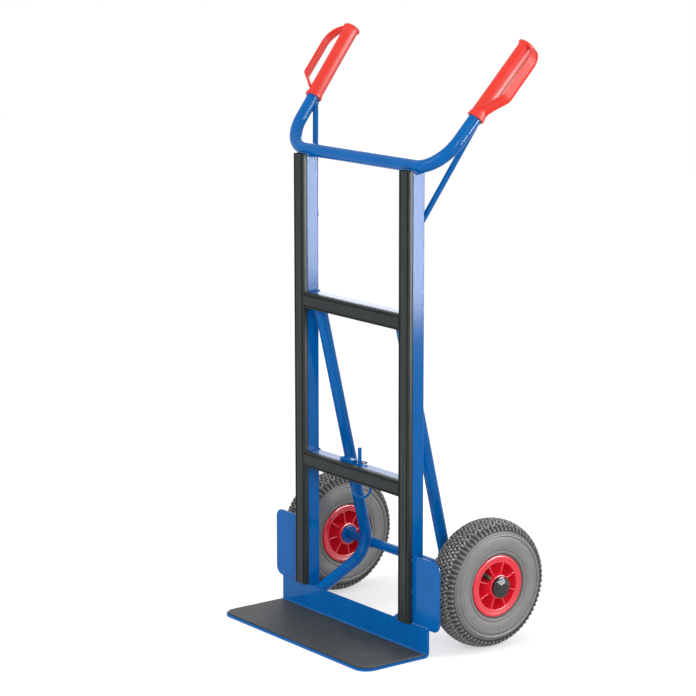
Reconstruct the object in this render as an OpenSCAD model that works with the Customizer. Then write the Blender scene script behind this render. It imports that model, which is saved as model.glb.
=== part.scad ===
// Two-wheeled hand truck: a welded steel tube frame with plastic load strips,
// a sheet steel toe plate, a bent handle bow with two guarded grips, and two
// roller-bearing wheels on one through axle. Millimetres, +Z up, standing on
// its toe plate and tyres, with the origin on the floor under its middle.

/* [Frame tube] */
// Width of the rectangular frame tube, seen from the front
tube_w = 30; // [25:1:34]
// Depth of the rectangular frame tube, front to back
tube_d = 37; // [36:1:42]
// Wall of the frame tube
tube_wall = 2; // [1.5:0.1:3]
// Outer corner radius of the frame tube
tube_corner = 3; // [2.5:0.1:5]
// Distance between the centre lines of the two uprights
rail_spacing = 345; // [310:1:380]
// Height of the lower ends of the uprights above the floor
upright_foot = 12; // [10:1:20]
// Height of the upper ends of the uprights
upright_top = 956; // [900:1:1000]
// Height of the centre line of the upper crossbar
upper_bar_z = 658.5; // [600:1:720]
// Height of the centre line of the lower crossbar
lower_bar_z = 326; // [280:1:380]

/* [Load strips] */
// How far a load strip stands in front of its tube
strip_front = 3.8; // [3:0.1:5]
// Thickness of the strip's side lips
strip_lip = 1; // [0.8:0.1:2]
// How far the side lips reach back over the tube
strip_wrap = 8; // [6:0.5:12]
// Radius of the strip's front edges
strip_edge = 2; // [1:0.1:2.5]
// Diameter of the fine grooves along the strip's face
strip_groove = 1; // [0.6:0.1:1.2]
// Distance of the outer grooves from the middle of the strip
strip_groove_x = 11.5; // [9:0.5:12]

/* [Toe plate] */
// Width of the toe plate
toe_w = 486; // [450:1:520]
// Length of the toe plate in front of the frame tubes
toe_depth = 155; // [130:1:200]
// Thickness of the toe plate sheet
toe_t = 5; // [4:0.5:6]
// Height of the upright flange of the toe plate
flange_h = 57; // [50:1:70]
// How far the flange's face stands behind the front of the frame tubes
flange_set = 3; // [2:0.5:5]
// Outer radius of the bend between plate and flange
toe_bend = 10; // [9:0.5:12]
// Radius of the toe plate's front corners
toe_corner = 28; // [15:1:45]
// Thickness of the rubber mat
mat_t = 2.8; // [2:0.1:5]
// Bare margin between the mat and the plate's edges
mat_margin = 4; // [2:0.5:10]

/* [Wheel guards] */
// Distance of a wheel guard's outer edge from the middle of the truck
guard_reach = 272.5; // [262:0.5:300]
// Height of the guard's upper edge
guard_top = 196; // [170:1:220]
// How far the guard laps down behind the flange
guard_lap = 3; // [2:0.5:10]
// Thickness of the guard plate
guard_t = 4; // [3:0.5:5]
// Radius of the guard's outer corners
guard_corner = 18; // [8:1:30]

/* [Handle] */
// Outer diameter of the handle tube
handle_d = 26; // [22:0.5:27]
// Wall of the handle tube
handle_wall = 2; // [1.5:0.1:3]
// Height of the handle bow's centre line
bow_z = 963.5; // [958:0.5:966]
// Distance of the bow's centre line behind the front of the frame tubes
bow_y = 20.5; // [16:0.5:22]
// Half the distance between the corners of the bow's centre line
bow_half = 248; // [238:1:280]
// Centre-line radius of the bow's bends
bow_bend = 77.5; // [60:0.5:90]
// Rise of the handle arms above the horizontal, in degrees
handle_tilt = 49.8; // [40:0.1:60]
// How far each arm leans outward, in degrees
handle_splay = 5.8; // [0:0.1:8]
// Diameter of the round bars that stay the handle arms
strut_d = 11.5; // [8:0.5:12]
// Height at which a handle stay meets the back of its upright
strut_foot_z = 844; // [800:1:870]
// Distance of the stay's foot inward from the upright's centre line
strut_inset = 3; // [0:0.5:9]
// Distance from the bow's corner to the stay's upper end, along the arm
strut_reach = 114; // [100:1:115]
// How far inward of the arm's centre line a stay's upper end lies
strut_head_inset = 3; // [0:0.5:5]

/* [Grips] */
// Distance from the bow's corner to the grip, along the arm
grip_start = 123; // [120:1:140]
// Length of a grip
grip_len = 178; // [150:1:200]
// Outer diameter of a grip
grip_d = 31.5; // [29:0.5:34]
// Diameter of the flange at the lower end of a grip
grip_low_flange = 36; // [34.5:0.5:38]
// Diameter of the closed upper end of a grip
grip_end_flange = 37; // [35:0.5:42]
// Thickness of the grip's flanges
grip_flange_t = 5; // [4:0.5:7]
// Thickness of the closed end beyond the tube
grip_cap_t = 4; // [3:0.5:6]
// Radial clearance of the grip on the tube
grip_fit = 0.03; // [0.02:0.01:0.1]
// Distance from the grip's centre line to the middle of the knuckle guard
knuckle_reach = 55.5; // [50:0.5:70]
// How far the knuckle guard is set toward the front of the grip
knuckle_fore = 5.5; // [0:0.5:6]
// Thickness of the knuckle guard's band
knuckle_t = 4; // [3:0.5:5]
// Width of the knuckle guard's band
knuckle_w = 16; // [12:1:22]
// Outer radius of the knuckle guard's upper bend
knuckle_bend = 36; // [25:1:38]
// Where the guard's lower slope starts, measured up from the grip's foot
knuckle_slope = 52; // [40:1:70]

/* [Braces] */
// Distance of a brace from the middle of the truck
brace_x = 133.5; // [110:0.5:142]
// Outer diameter of the brace tube
brace_d = 25; // [20:0.5:27]
// Wall of the brace tube
brace_wall = 2; // [1.5:0.1:3]
// Where a brace meets the upper crossbar, behind the front of the tubes
brace_top_y = 23; // [18:0.5:23]
// How far in front of the axle the corner of the brace's centre line lies
brace_corner_fore = 1; // [-4:0.5:4]
// How far below the axle the corner of the brace's centre line lies
brace_corner_drop = 17; // [12:0.5:22]
// Centre-line radius of the brace's bend
brace_bend = 61; // [45:1:75]
// Height at which the brace's centre line meets the flange
brace_foot_z = 43; // [36:0.5:44]

/* [Wheels] */
// Outer diameter of a wheel over its tread
wheel_d = 260; // [250:1:270]
// Distance between the middles of the two tyres
track = 495.5; // [488:0.5:520]
// Distance of the axle behind the front of the frame tubes
axle_y = 149; // [147:0.5:160]
// Diameter of the axle
axle_d = 20; // [18:0.5:22]
// Greatest width of a tyre
tyre_w = 78; // [74:1:84]
// Radius of the ridge where the tyre's side wall meets its shoulder
tyre_ridge_r = 106; // [100:1:112]
// Width of the tyre across its two shoulder ridges
tyre_ridge_w = 73; // [70:0.5:74]
// Radius of the outer edge of the tread
tread_edge_r = 121.5; // [119:0.5:123]
// Width of the tread between its outer edges
tread_w = 56; // [50:1:60]
// Radius of the tread's crown, seen in section
crown_r = 56; // [50:1:70]
// Radius of the round space inside the tyre
chamber_r = 33; // [31:0.5:33]
// Distance of that space's middle from the wheel's axis
chamber_at = 85; // [84:0.5:86]
// Distance of the tyre's beads from the wheel's middle plane
bead_from = 18; // [16:0.5:20]
// Clearance between the tyre and the inner tube
tube_fit = 0.3; // [0.3:0.05:0.5]
// Thickness of the inner tube's rubber
tube_rubber = 2; // [1.5:0.1:2.5]
// Radius of the rim's flanges
rim_r = 62.5; // [60:0.5:66]
// Width of the rim over its flanges
rim_w = 71; // [68:0.5:72]
// Thickness of the rim's flanges
rim_flange_t = 4.6; // [4:0.1:6]
// Outer radius of the rim's barrel, where the tyre sits
barrel_r = 53; // [51:0.5:56]
// Wall of the rim's barrel
barrel_wall = 6; // [4:0.5:7]
// Thickness of the web between hub and barrel
web_t = 6; // [4:0.5:8]
// Number of ribs on each side of the web
rib_count = 8; // [6:1:12]
// Thickness of a rib
rib_t = 3.6; // [3:0.1:5]
// How far the ribs stay below the rim's face
rib_set = 1; // [0.5:0.5:6]
// Turn of the right rim's ribs, in degrees
right_rib_turn = 26; // [0:1:44]
// Turn of the left rim's ribs, in degrees
left_rib_turn = 8; // [0:1:44]
// Diameter of the valve's rubber stem
valve_d = 12; // [9:0.5:13]
// Length of the rubber stem from the middle of the barrel's wall
valve_len = 25; // [20:0.5:26]
// Diameter of the valve's metal tip
valve_tip_d = 8; // [6:0.5:8]
// Length of the valve's metal tip
valve_tip_len = 6; // [3:0.5:7]
// Distance of the valve's foot from the wheel's middle plane
valve_foot = 17; // [15:0.5:18]
// Clearance of the stem in its hole
valve_fit = 0.1; // [0.05:0.05:0.3]

/* [Hub and bearings] */
// Outer diameter of the hub
hub_d = 48; // [44:0.5:52]
// Length of the hub
hub_len = 83.5; // [78:0.5:88]
// Diameter of a bearing roller
roller_d = 4.5; // [4:0.1:5]
// Number of rollers in a bearing
roller_count = 10; // [8:1:11]
// Length of a bearing roller
roller_len = 17.6; // [14:0.1:19]
// Length of a bearing cage
cage_len = 24; // [22:0.5:26]
// Radial running clearance of the rollers
run_fit = 0.05; // [0.02:0.01:0.08]
// Radial clearance of a roller in its cage pocket
pocket_fit = 0.12; // [0.1:0.01:0.2]
// Radial clearance between cage and axle, and between cage and hub
cage_fit = 0.6; // [0.4:0.1:0.8]
// End play of a wheel on each side
end_play = 0.4; // [0.3:0.05:1]
// Outer diameter of the stop collar inside each wheel
collar_d = 38; // [32:0.5:44]
// Thickness of the stop collar
collar_t = 4.5; // [3:0.5:8]
// Thickness of the plain washer under a hub cap
washer_t = 2; // [1.5:0.1:3]
// Outer diameter of the plain washer
washer_d = 34; // [28:0.5:36]
// Outer diameter of a hub cap
cap_d = 43; // [40:0.5:46]
// Depth of a hub cap
cap_depth = 12; // [11:0.5:18]
// Wall of a hub cap
cap_wall = 2; // [1.5:0.1:3]

/* [Ring rod] */
// Diameter of the ring rod
rod_d = 8; // [6:0.5:10]
// Distance of the rod behind the front of the crossbar
rod_y = 21.5; // [14:0.5:23]
// Height of the rod's upper end above the lower crossbar
rod_rise = 35; // [30:1:50]
// Radial clearance of the rod in its bush
rod_fit = 0.1; // [0.05:0.01:0.1]
// Outer diameter of the bush that carries the rod
bush_d = 13; // [12:0.5:16]
// How far the bush stands above the crossbar
bush_rise = 2; // [1.5:0.5:8]
// Outer diameter of the ring below the crossbar
ring_d = 41; // [34:1:46]
// Wire diameter of the ring
ring_wire = 5; // [4:0.5:6]
// Gap between the ring and the underside of the crossbar
ring_gap = 0.6; // [0.4:0.1:2]
// How far the ring's centre lies to one side of the rod
ring_shift = 3.5; // [0:0.5:6]
// Turn of the ring about the rod at rest, in degrees
ring_turn = 53; // [0:1:90]
// Wire diameter of the spring clip
clip_wire = 1.8; // [1.4:0.1:2]
// How far the spring clip reaches out from the rod
clip_reach = 20; // [18:0.5:22]
// Turn of the clip's leg at rest, in degrees
clip_turn = 30; // [0:1:90]
// Height of the clip's hole above the bush
clip_rise = 1.8; // [1.6:0.1:6]
// Length of the stop bar beside the ring rod
stop_len = 40; // [25:1:50]
// Depth of the stop bar
stop_w = 12; // [8:0.5:14]
// Height of the stop bar
stop_h = 8; // [5:0.5:10]
// How far the stop bar's front is behind the crossbar's
stop_y = 10; // [6:0.5:12]
// Distance from the rod's axis to the stop bar
stop_gap = 10; // [9.5:0.5:14]

/* [Hidden] */
$fn = 64;

BLUE = "#0a5fae";
STRIP = "#3c4344";
RUBBER = "#3b3d3f";
TYRE = "#80807e";
RED = "#d61f2c";
STEEL = "#b8bcc0";
CAGE = "#d9d4c4";
BLACK = "#1c1d1f";

// Overlap that carries a cutting body past the face it cuts
past = 1;
// How much smaller a bend is drawn than the straights it seats in
seat = 0.05;
wheel_r = wheel_d / 2;
rail_x = rail_spacing / 2;
inner_face_x = rail_x - tube_w / 2;
outer_face_x = rail_x + tube_w / 2;
flange_back = flange_set + toe_t;
upper_bar_low = upper_bar_z - tube_w / 2;
lower_bar_low = lower_bar_z - tube_w / 2;
lower_bar_high = lower_bar_z + tube_w / 2;
// The truck's depth runs from the toe plate's edge to the back of the tyres
frame_y = (toe_depth - axle_y - wheel_r) / 2;
arm_dir = [sin(handle_splay), cos(handle_splay) * cos(handle_tilt),
    cos(handle_splay) * sin(handle_tilt)];
arm_under = [0, sin(handle_tilt), -cos(handle_tilt)];
arm_end = grip_start + grip_len - grip_cap_t;
bow_corner = [bow_half, bow_y, bow_z];
hub_r = hub_d / 2;
hub_bore_r = axle_d / 2 + roller_d + 2 * run_fit;
roller_ring_r = axle_d / 2 + run_fit + roller_d / 2;
hub_waist_r = axle_d / 2 + 2;
rim_half = rim_w / 2;
wheel_x = track / 2;
washer_from = hub_len / 2 + end_play;
axle_half = wheel_x + washer_from + cap_depth - cap_wall - past;
bush_top = lower_bar_high + bush_rise;
ring_centre_z = lower_bar_low - ring_gap - ring_d / 2;

// Places truck shapes so that the floor point under the middle is the origin
module in_frame() translate([0, frame_y, 0]) children();

// A left-hand piece is the mirror image of the right-hand one
module left_side() in_frame() mirror([1, 0, 0]) children();

// Turns a drawing of depth and height so that it is extruded along X
module across(width) rotate([90, 0, 90]) linear_extrude(width, center = true) children();

// Rectangle with round corners, centred on x, its front edge on the x axis
module round_rect(w, d, r) {
    translate([r - w / 2, 0]) square([w - 2 * r, d]);
    translate([-w / 2, r]) square([w, d - 2 * r]);
    for (x = [r - w / 2, w / 2 - r], y = [r, d - r]) translate([x, y]) circle(r);
}

module tube_outline() round_rect(tube_w, tube_d, tube_corner);

module tube_section() difference() {
    tube_outline();
    translate([0, tube_wall]) round_rect(tube_w - 2 * tube_wall, tube_d - 2 * tube_wall,
        tube_corner - tube_wall);
}

// Section of a load strip: a grooved face with two lips over the tube's sides
module strip_section() difference() {
    translate([0, -strip_front])
        round_rect(tube_w + 2 * strip_lip, strip_front + strip_wrap + past, strip_edge);
    translate([-tube_w, strip_wrap]) square(2 * tube_w);
    tube_outline();
    translate([-tube_w / 2, tube_corner]) square([tube_w, tube_d]);
    for (x = [-1, -0.78, 0, 0.78, 1] * strip_groove_x)
        translate([x, -strip_front]) circle(strip_groove / 2);
}

// Lays a tube or strip that was drawn along Z across the truck
module lay_across(z, length) translate([-length / 2, 0, z]) rotate([90, 0, 90])
    linear_extrude(length) rotate(-90) mirror([1, 0]) children();

// One wall ring of a round tube or a solid bar
module ring_2d(d, wall) difference() {
    circle(d / 2);
    if (wall > 0) circle(d / 2 - wall);
}

// Round bar or tube between two points in space
module bar_between(p, q, d, wall = 0) {
    way = q - p;
    translate(p) rotate([0, acos(way.z / norm(way)), atan2(way.y, way.x)])
        linear_extrude(norm(way)) ring_2d(d, wall);
}

function heading(p, q) = atan2(q.y - p.y, q.x - p.x);
function turn_at(p, i) = let (t = heading(p[i], p[i + 1]) - heading(p[i - 1], p[i]))
    t > 180 ? t - 360 : t < -180 ? t + 360 : t;
function setback(p, i, r) = i == 0 || i == len(p) - 1 ? 0 : r * tan(abs(turn_at(p, i)) / 2);
function along(p, q, s) = p + (q - p) * s / norm(q - p);

// Bent round tube or wire in the XY plane, through corners bent at one radius.
// A bend is drawn a hair slimmer than the straights and seats inside their ends
module bent_tube(points, bend_r, d, wall = 0) {
    for (i = [0 : len(points) - 2]) {
        from = along(points[i], points[i + 1], setback(points, i, bend_r));
        to = along(points[i + 1], points[i], setback(points, i + 1, bend_r));
        bar_between([from.x, from.y, 0], [to.x, to.y, 0], d, wall);
    }
    for (i = [1 : len(points) - 2]) {
        turn = turn_at(points, i);
        start = along(points[i], points[i - 1], setback(points, i, bend_r));
        way_in = heading(points[i - 1], points[i]);
        centre = start + sign(turn) * bend_r * [-sin(way_in), cos(way_in)];
        first = turn > 0 ? way_in - 90 : way_in + turn + 90;
        lap = atan(0.2 / sqrt(bend_r));
        translate([centre.x, centre.y, 0]) rotate(first - lap)
            rotate_extrude(angle = abs(turn) + 2 * lap) translate([bend_r, 0])
            ring_2d(d - 2 * seat, wall > 0 ? wall - 2 * seat : 0);
    }
}

// ---- Frame -------------------------------------------------------------

module bow_line() in_bow_plane() rotate([0, 90, 0])
    cylinder(h = 2 * bow_half, d = handle_d, center = true);

// The handle bow lies in one plane, tilted about the line over the uprights
module in_bow_plane() translate([0, bow_y, bow_z]) rotate([handle_tilt, 0, 0]) children();

module flange_space() translate([-toe_w / 2, -tube_d, 0]) cube([toe_w, tube_d + flange_back, flange_h]);

module upright() difference() {
    translate([rail_x, 0, upright_foot]) linear_extrude(upright_top - upright_foot) tube_section();
    flange_space();
    bow_line();
}

module crossbar_body(z) lay_across(z, 2 * inner_face_x) tube_section();

module upper_crossbar() color(BLUE) in_frame() crossbar_body(upper_bar_z);

module lower_crossbar() color(BLUE) in_frame() difference() {
    crossbar_body(lower_bar_z);
    translate([0, rod_y, lower_bar_low - past]) cylinder(h = tube_w + 2 * past, d = bush_d);
}

module left_upright() color(BLUE) left_side() upright();
module right_upright() color(BLUE) in_frame() upright();

// The strip's inner lip is notched where each crossbar passes
module upright_strip() difference() {
    translate([rail_x, 0, flange_h]) linear_extrude(upright_top - flange_h) strip_section();
    for (z = [upper_bar_z, lower_bar_z]) translate([0, 0, z - tube_w / 2])
        cube([rail_x, tube_d, tube_w]);
    guard_body();
    bow_line();
}

module crossbar_strip(z) lay_across(z, 2 * (inner_face_x - strip_lip)) strip_section();

module left_upright_strip() color(STRIP) left_side() upright_strip();
module right_upright_strip() color(STRIP) in_frame() upright_strip();
module upper_crossbar_strip() color(STRIP) in_frame() crossbar_strip(upper_bar_z);
module lower_crossbar_strip() color(STRIP) in_frame() crossbar_strip(lower_bar_z);

// ---- Toe plate ---------------------------------------------------------

// Plate seen from above, with round front corners, inset all round
module toe_outline(inset, back) difference() {
    translate([0, inset - toe_depth])
        round_rect(toe_w - 2 * inset, 2 * toe_depth, toe_corner - inset);
    translate([-toe_w, back]) square([2 * toe_w, 2 * toe_depth]);
}

// Side view of the bent sheet: plate, bend and flange
module toe_profile() {
    bend_y = flange_back - toe_bend;
    translate([-toe_depth, 0]) square([toe_depth + bend_y, toe_t]);
    translate([flange_set, toe_bend]) square([toe_t, flange_h - toe_bend]);
    intersection() {
        translate([bend_y, toe_bend]) ring_2d(2 * toe_bend, toe_t);
        translate([bend_y, 0]) square(toe_bend);
    }
}

module toe_plate() color(BLUE) in_frame() intersection() {
    across(toe_w) toe_profile();
    linear_extrude(flange_h) toe_outline(0, flange_back);
}

module toe_mat() color(RUBBER) in_frame() translate([0, 0, toe_t])
    linear_extrude(mat_t) toe_outline(mat_margin, flange_back - toe_bend);

// ---- Wheel guards ------------------------------------------------------

module guard_body() {
    low = flange_h - guard_lap;
    corner_x = guard_reach - guard_corner;
    translate([0, flange_back + guard_t, 0]) rotate([90, 0, 0]) linear_extrude(guard_t) {
        translate([outer_face_x, low]) square([corner_x - outer_face_x, guard_top - low]);
        translate([outer_face_x, low + guard_corner])
            square([guard_reach - outer_face_x, guard_top - low - 2 * guard_corner]);
        for (z = [low + guard_corner, guard_top - guard_corner])
            translate([corner_x, z]) circle(guard_corner);
    }
}

module left_wheel_guard() color(BLUE) left_side() guard_body();
module right_wheel_guard() color(BLUE) in_frame() guard_body();

// ---- Handle ------------------------------------------------------------

module handle_bow() color(BLUE) in_frame() in_bow_plane() {
    tip = [bow_half + arm_end * sin(handle_splay), arm_end * cos(handle_splay)];
    bent_tube([[-tip.x, tip.y], [-bow_half, 0], [bow_half, 0], tip], bow_bend, handle_d, handle_wall);
}

function arm_at(l) = bow_corner + l * arm_dir;

// Round stay from the back of the upright to the underside of the arm
module handle_stay() difference() {
    foot = [rail_x - strut_inset, tube_d, strut_foot_z];
    head = arm_at(strut_reach) + arm_under * (handle_d / 2 - handle_wall / 2)
        - [strut_head_inset, 0, 0];
    bar_between(foot - (head - foot) * strut_d / norm(head - foot), head, strut_d);
    translate([inner_face_x, 0, 0]) cube([tube_w, tube_d, upright_top]);
    bar_between(arm_at(0), arm_at(grip_start), handle_d);
}

module left_handle_stay() color(BLUE) left_side() handle_stay();
module right_handle_stay() color(BLUE) in_frame() handle_stay();

// Moves to the foot of the right grip: z along the arm, x outward
module on_arm() translate(arm_at(grip_start)) rotate([handle_tilt, 0, 0])
    rotate([-90, 0, -handle_splay]) children();

// Side view of the knuckle guard: top web, bend, straight band, lower slope
module knuckle_outline() {
    out = knuckle_reach + knuckle_t / 2;
    high = grip_len - grip_flange_t;
    bend_z = high - knuckle_bend;
    translate([0, high - knuckle_t]) square([out - knuckle_bend, knuckle_t]);
    translate([out - knuckle_bend, bend_z]) intersection() {
        ring_2d(2 * knuckle_bend, knuckle_t);
        square(knuckle_bend);
    }
    translate([out - knuckle_t, knuckle_slope]) square([knuckle_t, bend_z - knuckle_slope]);
    translate([knuckle_reach, knuckle_slope]) circle(knuckle_t / 2);
    slope = [knuckle_reach - grip_d / 2 + past, knuckle_slope - grip_flange_t * 4];
    translate([knuckle_reach, knuckle_slope]) rotate(180 + atan2(slope.y, slope.x))
        translate([0, -knuckle_t / 2]) square([norm(slope), knuckle_t]);
}

module grip() on_arm() difference() {
    union() {
        cylinder(h = grip_len, d = grip_d);
        cylinder(h = grip_flange_t, d = grip_low_flange);
        translate([0, 0, grip_len - grip_flange_t]) cylinder(h = grip_flange_t, d = grip_end_flange);
        translate([0, -knuckle_fore, 0]) rotate([90, 0, 0])
            linear_extrude(knuckle_w, center = true) knuckle_outline();
    }
    translate([0, 0, -past]) cylinder(h = grip_len - grip_cap_t + past,
        d = handle_d + 2 * grip_fit);
}

module left_grip() color(RED) left_side() grip();
module right_grip() color(RED) in_frame() grip();

// ---- Braces and axle ---------------------------------------------------

module axle_line(d) translate([0, axle_y, wheel_r]) rotate([0, 90, 0])
    cylinder(h = 2 * axle_half, d = d, center = true);

// Drawn in depth and height: down from the crossbar, round behind the axle's
// seat, and forward to the back of the flange
module brace() difference() {
    corner = [axle_y - brace_corner_fore, wheel_r - brace_corner_drop];
    top = [brace_top_y, upper_bar_low];
    foot = [flange_back, brace_foot_z];
    translate([brace_x, 0, 0]) rotate([90, 0, 90])
        bent_tube([along(top, corner, -brace_d / 2), corner, along(foot, corner, -brace_d / 2)],
            brace_bend, brace_d, brace_wall);
    translate([0, -tube_d, upper_bar_low]) cube([rail_x, 2 * tube_d, tube_w]);
    translate([0, -tube_d, 0]) cube([rail_x, tube_d + flange_back, brace_foot_z + brace_d]);
    axle_line(axle_d);
}

module left_brace() color(BLUE) left_side() brace();
module right_brace() color(BLUE) in_frame() brace();

module axle() color(BLUE) in_frame() axle_line(axle_d);

// ---- Wheels ------------------------------------------------------------

// Moves to the middle of the right wheel: z outward along the axle
module at_wheel() translate([wheel_x, axle_y, wheel_r]) rotate([0, 90, 0]) children();

module both_ends() for (m = [0, 1]) mirror([0, 0, m]) children();

// Section of the space inside the tyre, shrunk by a fit or a wall
module chamber(shrink) intersection() {
    union() {
        translate([chamber_at, 0]) circle(chamber_r - shrink);
        translate([barrel_r, shrink - bead_from])
            square([chamber_at - barrel_r, 2 * (bead_from - shrink)]);
    }
    translate([barrel_r + shrink, -chamber_r]) square(2 * chamber_r);
}

// Section of the inner tube that fills the chamber
module tube_wall_section() difference() {
    chamber(tube_fit);
    chamber(tube_fit + tube_rubber);
}

// Section of the tyre: beads between the rim's flanges, sidewalls and tread
module tyre_section() difference() {
    tyre_outline();
    chamber(0);
}

module tyre_outline() intersection() {
    translate([wheel_r - crown_r, 0]) circle(crown_r);
    for (m = [0, 1]) mirror([0, m]) polygon([[barrel_r, 0],
        [barrel_r, rim_half - rim_flange_t], [rim_r, rim_half - rim_flange_t],
        [rim_r, rim_half - rim_flange_t / 2], [rim_r + 6, tyre_w / 2 - 1.5],
        [tyre_ridge_r - 20, tyre_w / 2], [tyre_ridge_r, tyre_ridge_w / 2],
        [tread_edge_r, tread_w / 2], [wheel_r + past, tread_w / 4], [wheel_r + past, 0]]);
}

module tyre() at_wheel() rotate_extrude($fn = 96) tyre_section();

// Half section of the moulded rim: hub, web, barrel and two flanges
module rim_section() difference() {
    union() {
        translate([0, -hub_len / 2]) square([hub_r, hub_len]);
        translate([0, -web_t / 2]) square([barrel_r, web_t]);
        translate([barrel_r - barrel_wall, -rim_half]) square([barrel_wall, rim_w]);
        for (m = [0, 1]) mirror([0, m]) translate([barrel_r - barrel_wall, rim_half - rim_flange_t])
            square([rim_r - barrel_r + barrel_wall, rim_flange_t]);
    }
    translate([0, -hub_len]) square([hub_waist_r, 2 * hub_len]);
    for (m = [0, 1]) mirror([0, m]) translate([0, hub_len / 2 - cage_len - end_play])
        square([hub_bore_r, hub_len]);
}

module rim(turn) at_wheel() difference() {
    union() {
        rotate_extrude($fn = 96) rim_section();
        for (i = [0 : rib_count - 1]) rotate(90 + turn + i * 360 / rib_count)
            translate([hub_r - past, -rib_t / 2, rib_set - rim_half])
                cube([barrel_r - barrel_wall - hub_r + 2 * past, rib_t, rim_w - 2 * rib_set]);
    }
    at_valve(turn) cylinder(h = 4 * barrel_wall, d = valve_d + 2 * valve_fit, center = true);
}

// Runs its children round the axle once for every roller
module each_roller() for (i = [0 : roller_count - 1]) rotate(i * 360 / roller_count)
    translate([roller_ring_r, 0, hub_len / 2 - end_play - cage_len / 2]) children();

module bearing_cages() at_wheel() both_ends() difference() {
    translate([0, 0, hub_len / 2 - end_play - cage_len]) linear_extrude(cage_len)
        ring_2d(2 * (hub_bore_r - cage_fit), hub_bore_r - axle_d / 2 - 2 * cage_fit);
    each_roller() cylinder(h = roller_len + 2 * pocket_fit, d = roller_d + 2 * pocket_fit, center = true);
}

module bearing_rollers() at_wheel() both_ends() each_roller()
    cylinder(h = roller_len, d = roller_d, center = true, $fn = 24);

// Moves to the middle of the barrel's wall, z along the valve: outboard and in
module at_valve(turn) rotate(90 + turn + 2.5 * 360 / rib_count)
    translate([barrel_r - barrel_wall / 2, 0, valve_foot]) rotate([0, -45, 0]) children();

module inner_tube() at_wheel() rotate_extrude($fn = 96) tube_wall_section();

// Rubber stem from the inner tube through the barrel, with a screw-on tip
module valve(turn) at_wheel() {
    at_valve(turn) translate([0, 0, valve_len]) cylinder(h = valve_tip_len, d = valve_tip_d);
    intersection() {
        at_valve(turn) translate([0, 0, -2 * barrel_wall])
            cylinder(h = valve_len + 2 * barrel_wall, d = valve_d);
        cylinder(h = 2 * rim_w, r = barrel_r, center = true);
    }
}

module left_tyre() color(TYRE) left_side() tyre();
module right_tyre() color(TYRE) in_frame() tyre();
module left_rim() color(RED) left_side() rim(left_rib_turn);
module right_rim() color(RED) in_frame() rim(right_rib_turn);
module left_inner_tube() color(RUBBER) left_side() inner_tube();
module right_inner_tube() color(RUBBER) in_frame() inner_tube();
module left_valve() color(BLACK) left_side() valve(left_rib_turn);
module right_valve() color(BLACK) in_frame() valve(right_rib_turn);
module left_bearing_cages() color(CAGE) left_side() bearing_cages();
module right_bearing_cages() color(CAGE) in_frame() bearing_cages();
module left_bearing_rollers() color(STEEL) left_side() bearing_rollers();
module right_bearing_rollers() color(STEEL) in_frame() bearing_rollers();

// Domed collar welded on the axle against the inner end of the hub
module stop_collar() at_wheel() mirror([0, 0, 1]) translate([0, 0, hub_len / 2 + end_play])
    rotate_extrude() difference() {
        union() {
            square([collar_d / 2, collar_t / 2]);
            translate([0, collar_t / 2]) intersection() {
                translate([collar_d / 2 - collar_t / 2, 0]) circle(collar_t / 2);
                square([collar_d, collar_t]);
            }
            square([collar_d / 2 - collar_t / 2, collar_t]);
        }
        translate([0, -past]) square([axle_d / 2, collar_t + 2 * past]);
    }

module washer() at_wheel() translate([0, 0, washer_from]) linear_extrude(washer_t)
    ring_2d(washer_d, (washer_d - axle_d) / 2);

// Push-on cap: a round skirt over the washer and a six-sided nose
module hub_cap() at_wheel() translate([0, 0, washer_from]) difference() {
    skirt = cap_depth / 2;
    union() {
        cylinder(h = skirt, d = cap_d);
        translate([0, 0, skirt]) cylinder(h = cap_depth - skirt, d1 = cap_d - 2, d2 = cap_d - 11);
        cylinder(h = cap_depth + cap_wall / 2, d = axle_d + 3 * cap_wall, $fn = 6);
    }
    translate([0, 0, -past]) cylinder(h = washer_t + past, d = washer_d + cap_wall / 2);
    cylinder(h = axle_half - wheel_x - washer_from, d = axle_d);
}

module left_stop_collar() color(BLUE) left_side() stop_collar();
module right_stop_collar() color(BLUE) in_frame() stop_collar();
module left_washer() color(STEEL) left_side() washer();
module right_washer() color(STEEL) in_frame() washer();
module left_hub_cap() color(BLACK) left_side() hub_cap();
module right_hub_cap() color(BLACK) in_frame() hub_cap();

// ---- Ring rod ----------------------------------------------------------

module at_rod(z) translate([0, rod_y, z]) rotate(ring_turn) children();

module rod_bush() color(BLUE) in_frame() at_rod(lower_bar_low)
    linear_extrude(bush_top - lower_bar_low) ring_2d(bush_d, (bush_d - rod_d) / 2 - rod_fit);

// Short flat bar welded on the crossbar, which the clip swings up to
module rod_stop() color(BLUE) in_frame()
    translate([-stop_gap - stop_len, stop_y, lower_bar_high]) cube([stop_len, stop_w, stop_h]);

// Rod with the ring welded to its lower end and a cross hole for the clip
module ring_rod() color(BLUE) in_frame() difference() {
    union() {
        low = ring_centre_z + ring_d / 2 - ring_wire / 2;
        at_rod(low) cylinder(h = lower_bar_high + rod_rise - low, d = rod_d);
        at_rod(ring_centre_z) translate([ring_shift, 0, 0]) rotate([90, 0, 0])
            rotate_extrude() translate([(ring_d - ring_wire) / 2, 0]) circle(ring_wire / 2);
    }
    translate([0, rod_y, bush_top + clip_rise]) rotate([0, 90, clip_turn])
        cylinder(h = 2 * rod_d, d = clip_wire, center = true);
}

// Wire clip lying flat: one leg through the rod, then a loop back beside it
module spring_clip() color(BLACK) in_frame() translate([0, rod_y, bush_top + clip_rise])
    rotate(clip_turn) bent_tube([[-rod_d, 0], [clip_reach, 0],
        [clip_reach / 5, clip_reach * 0.65], [-clip_reach * 0.15, clip_reach * 0.31]],
        clip_wire, clip_wire);

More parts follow.
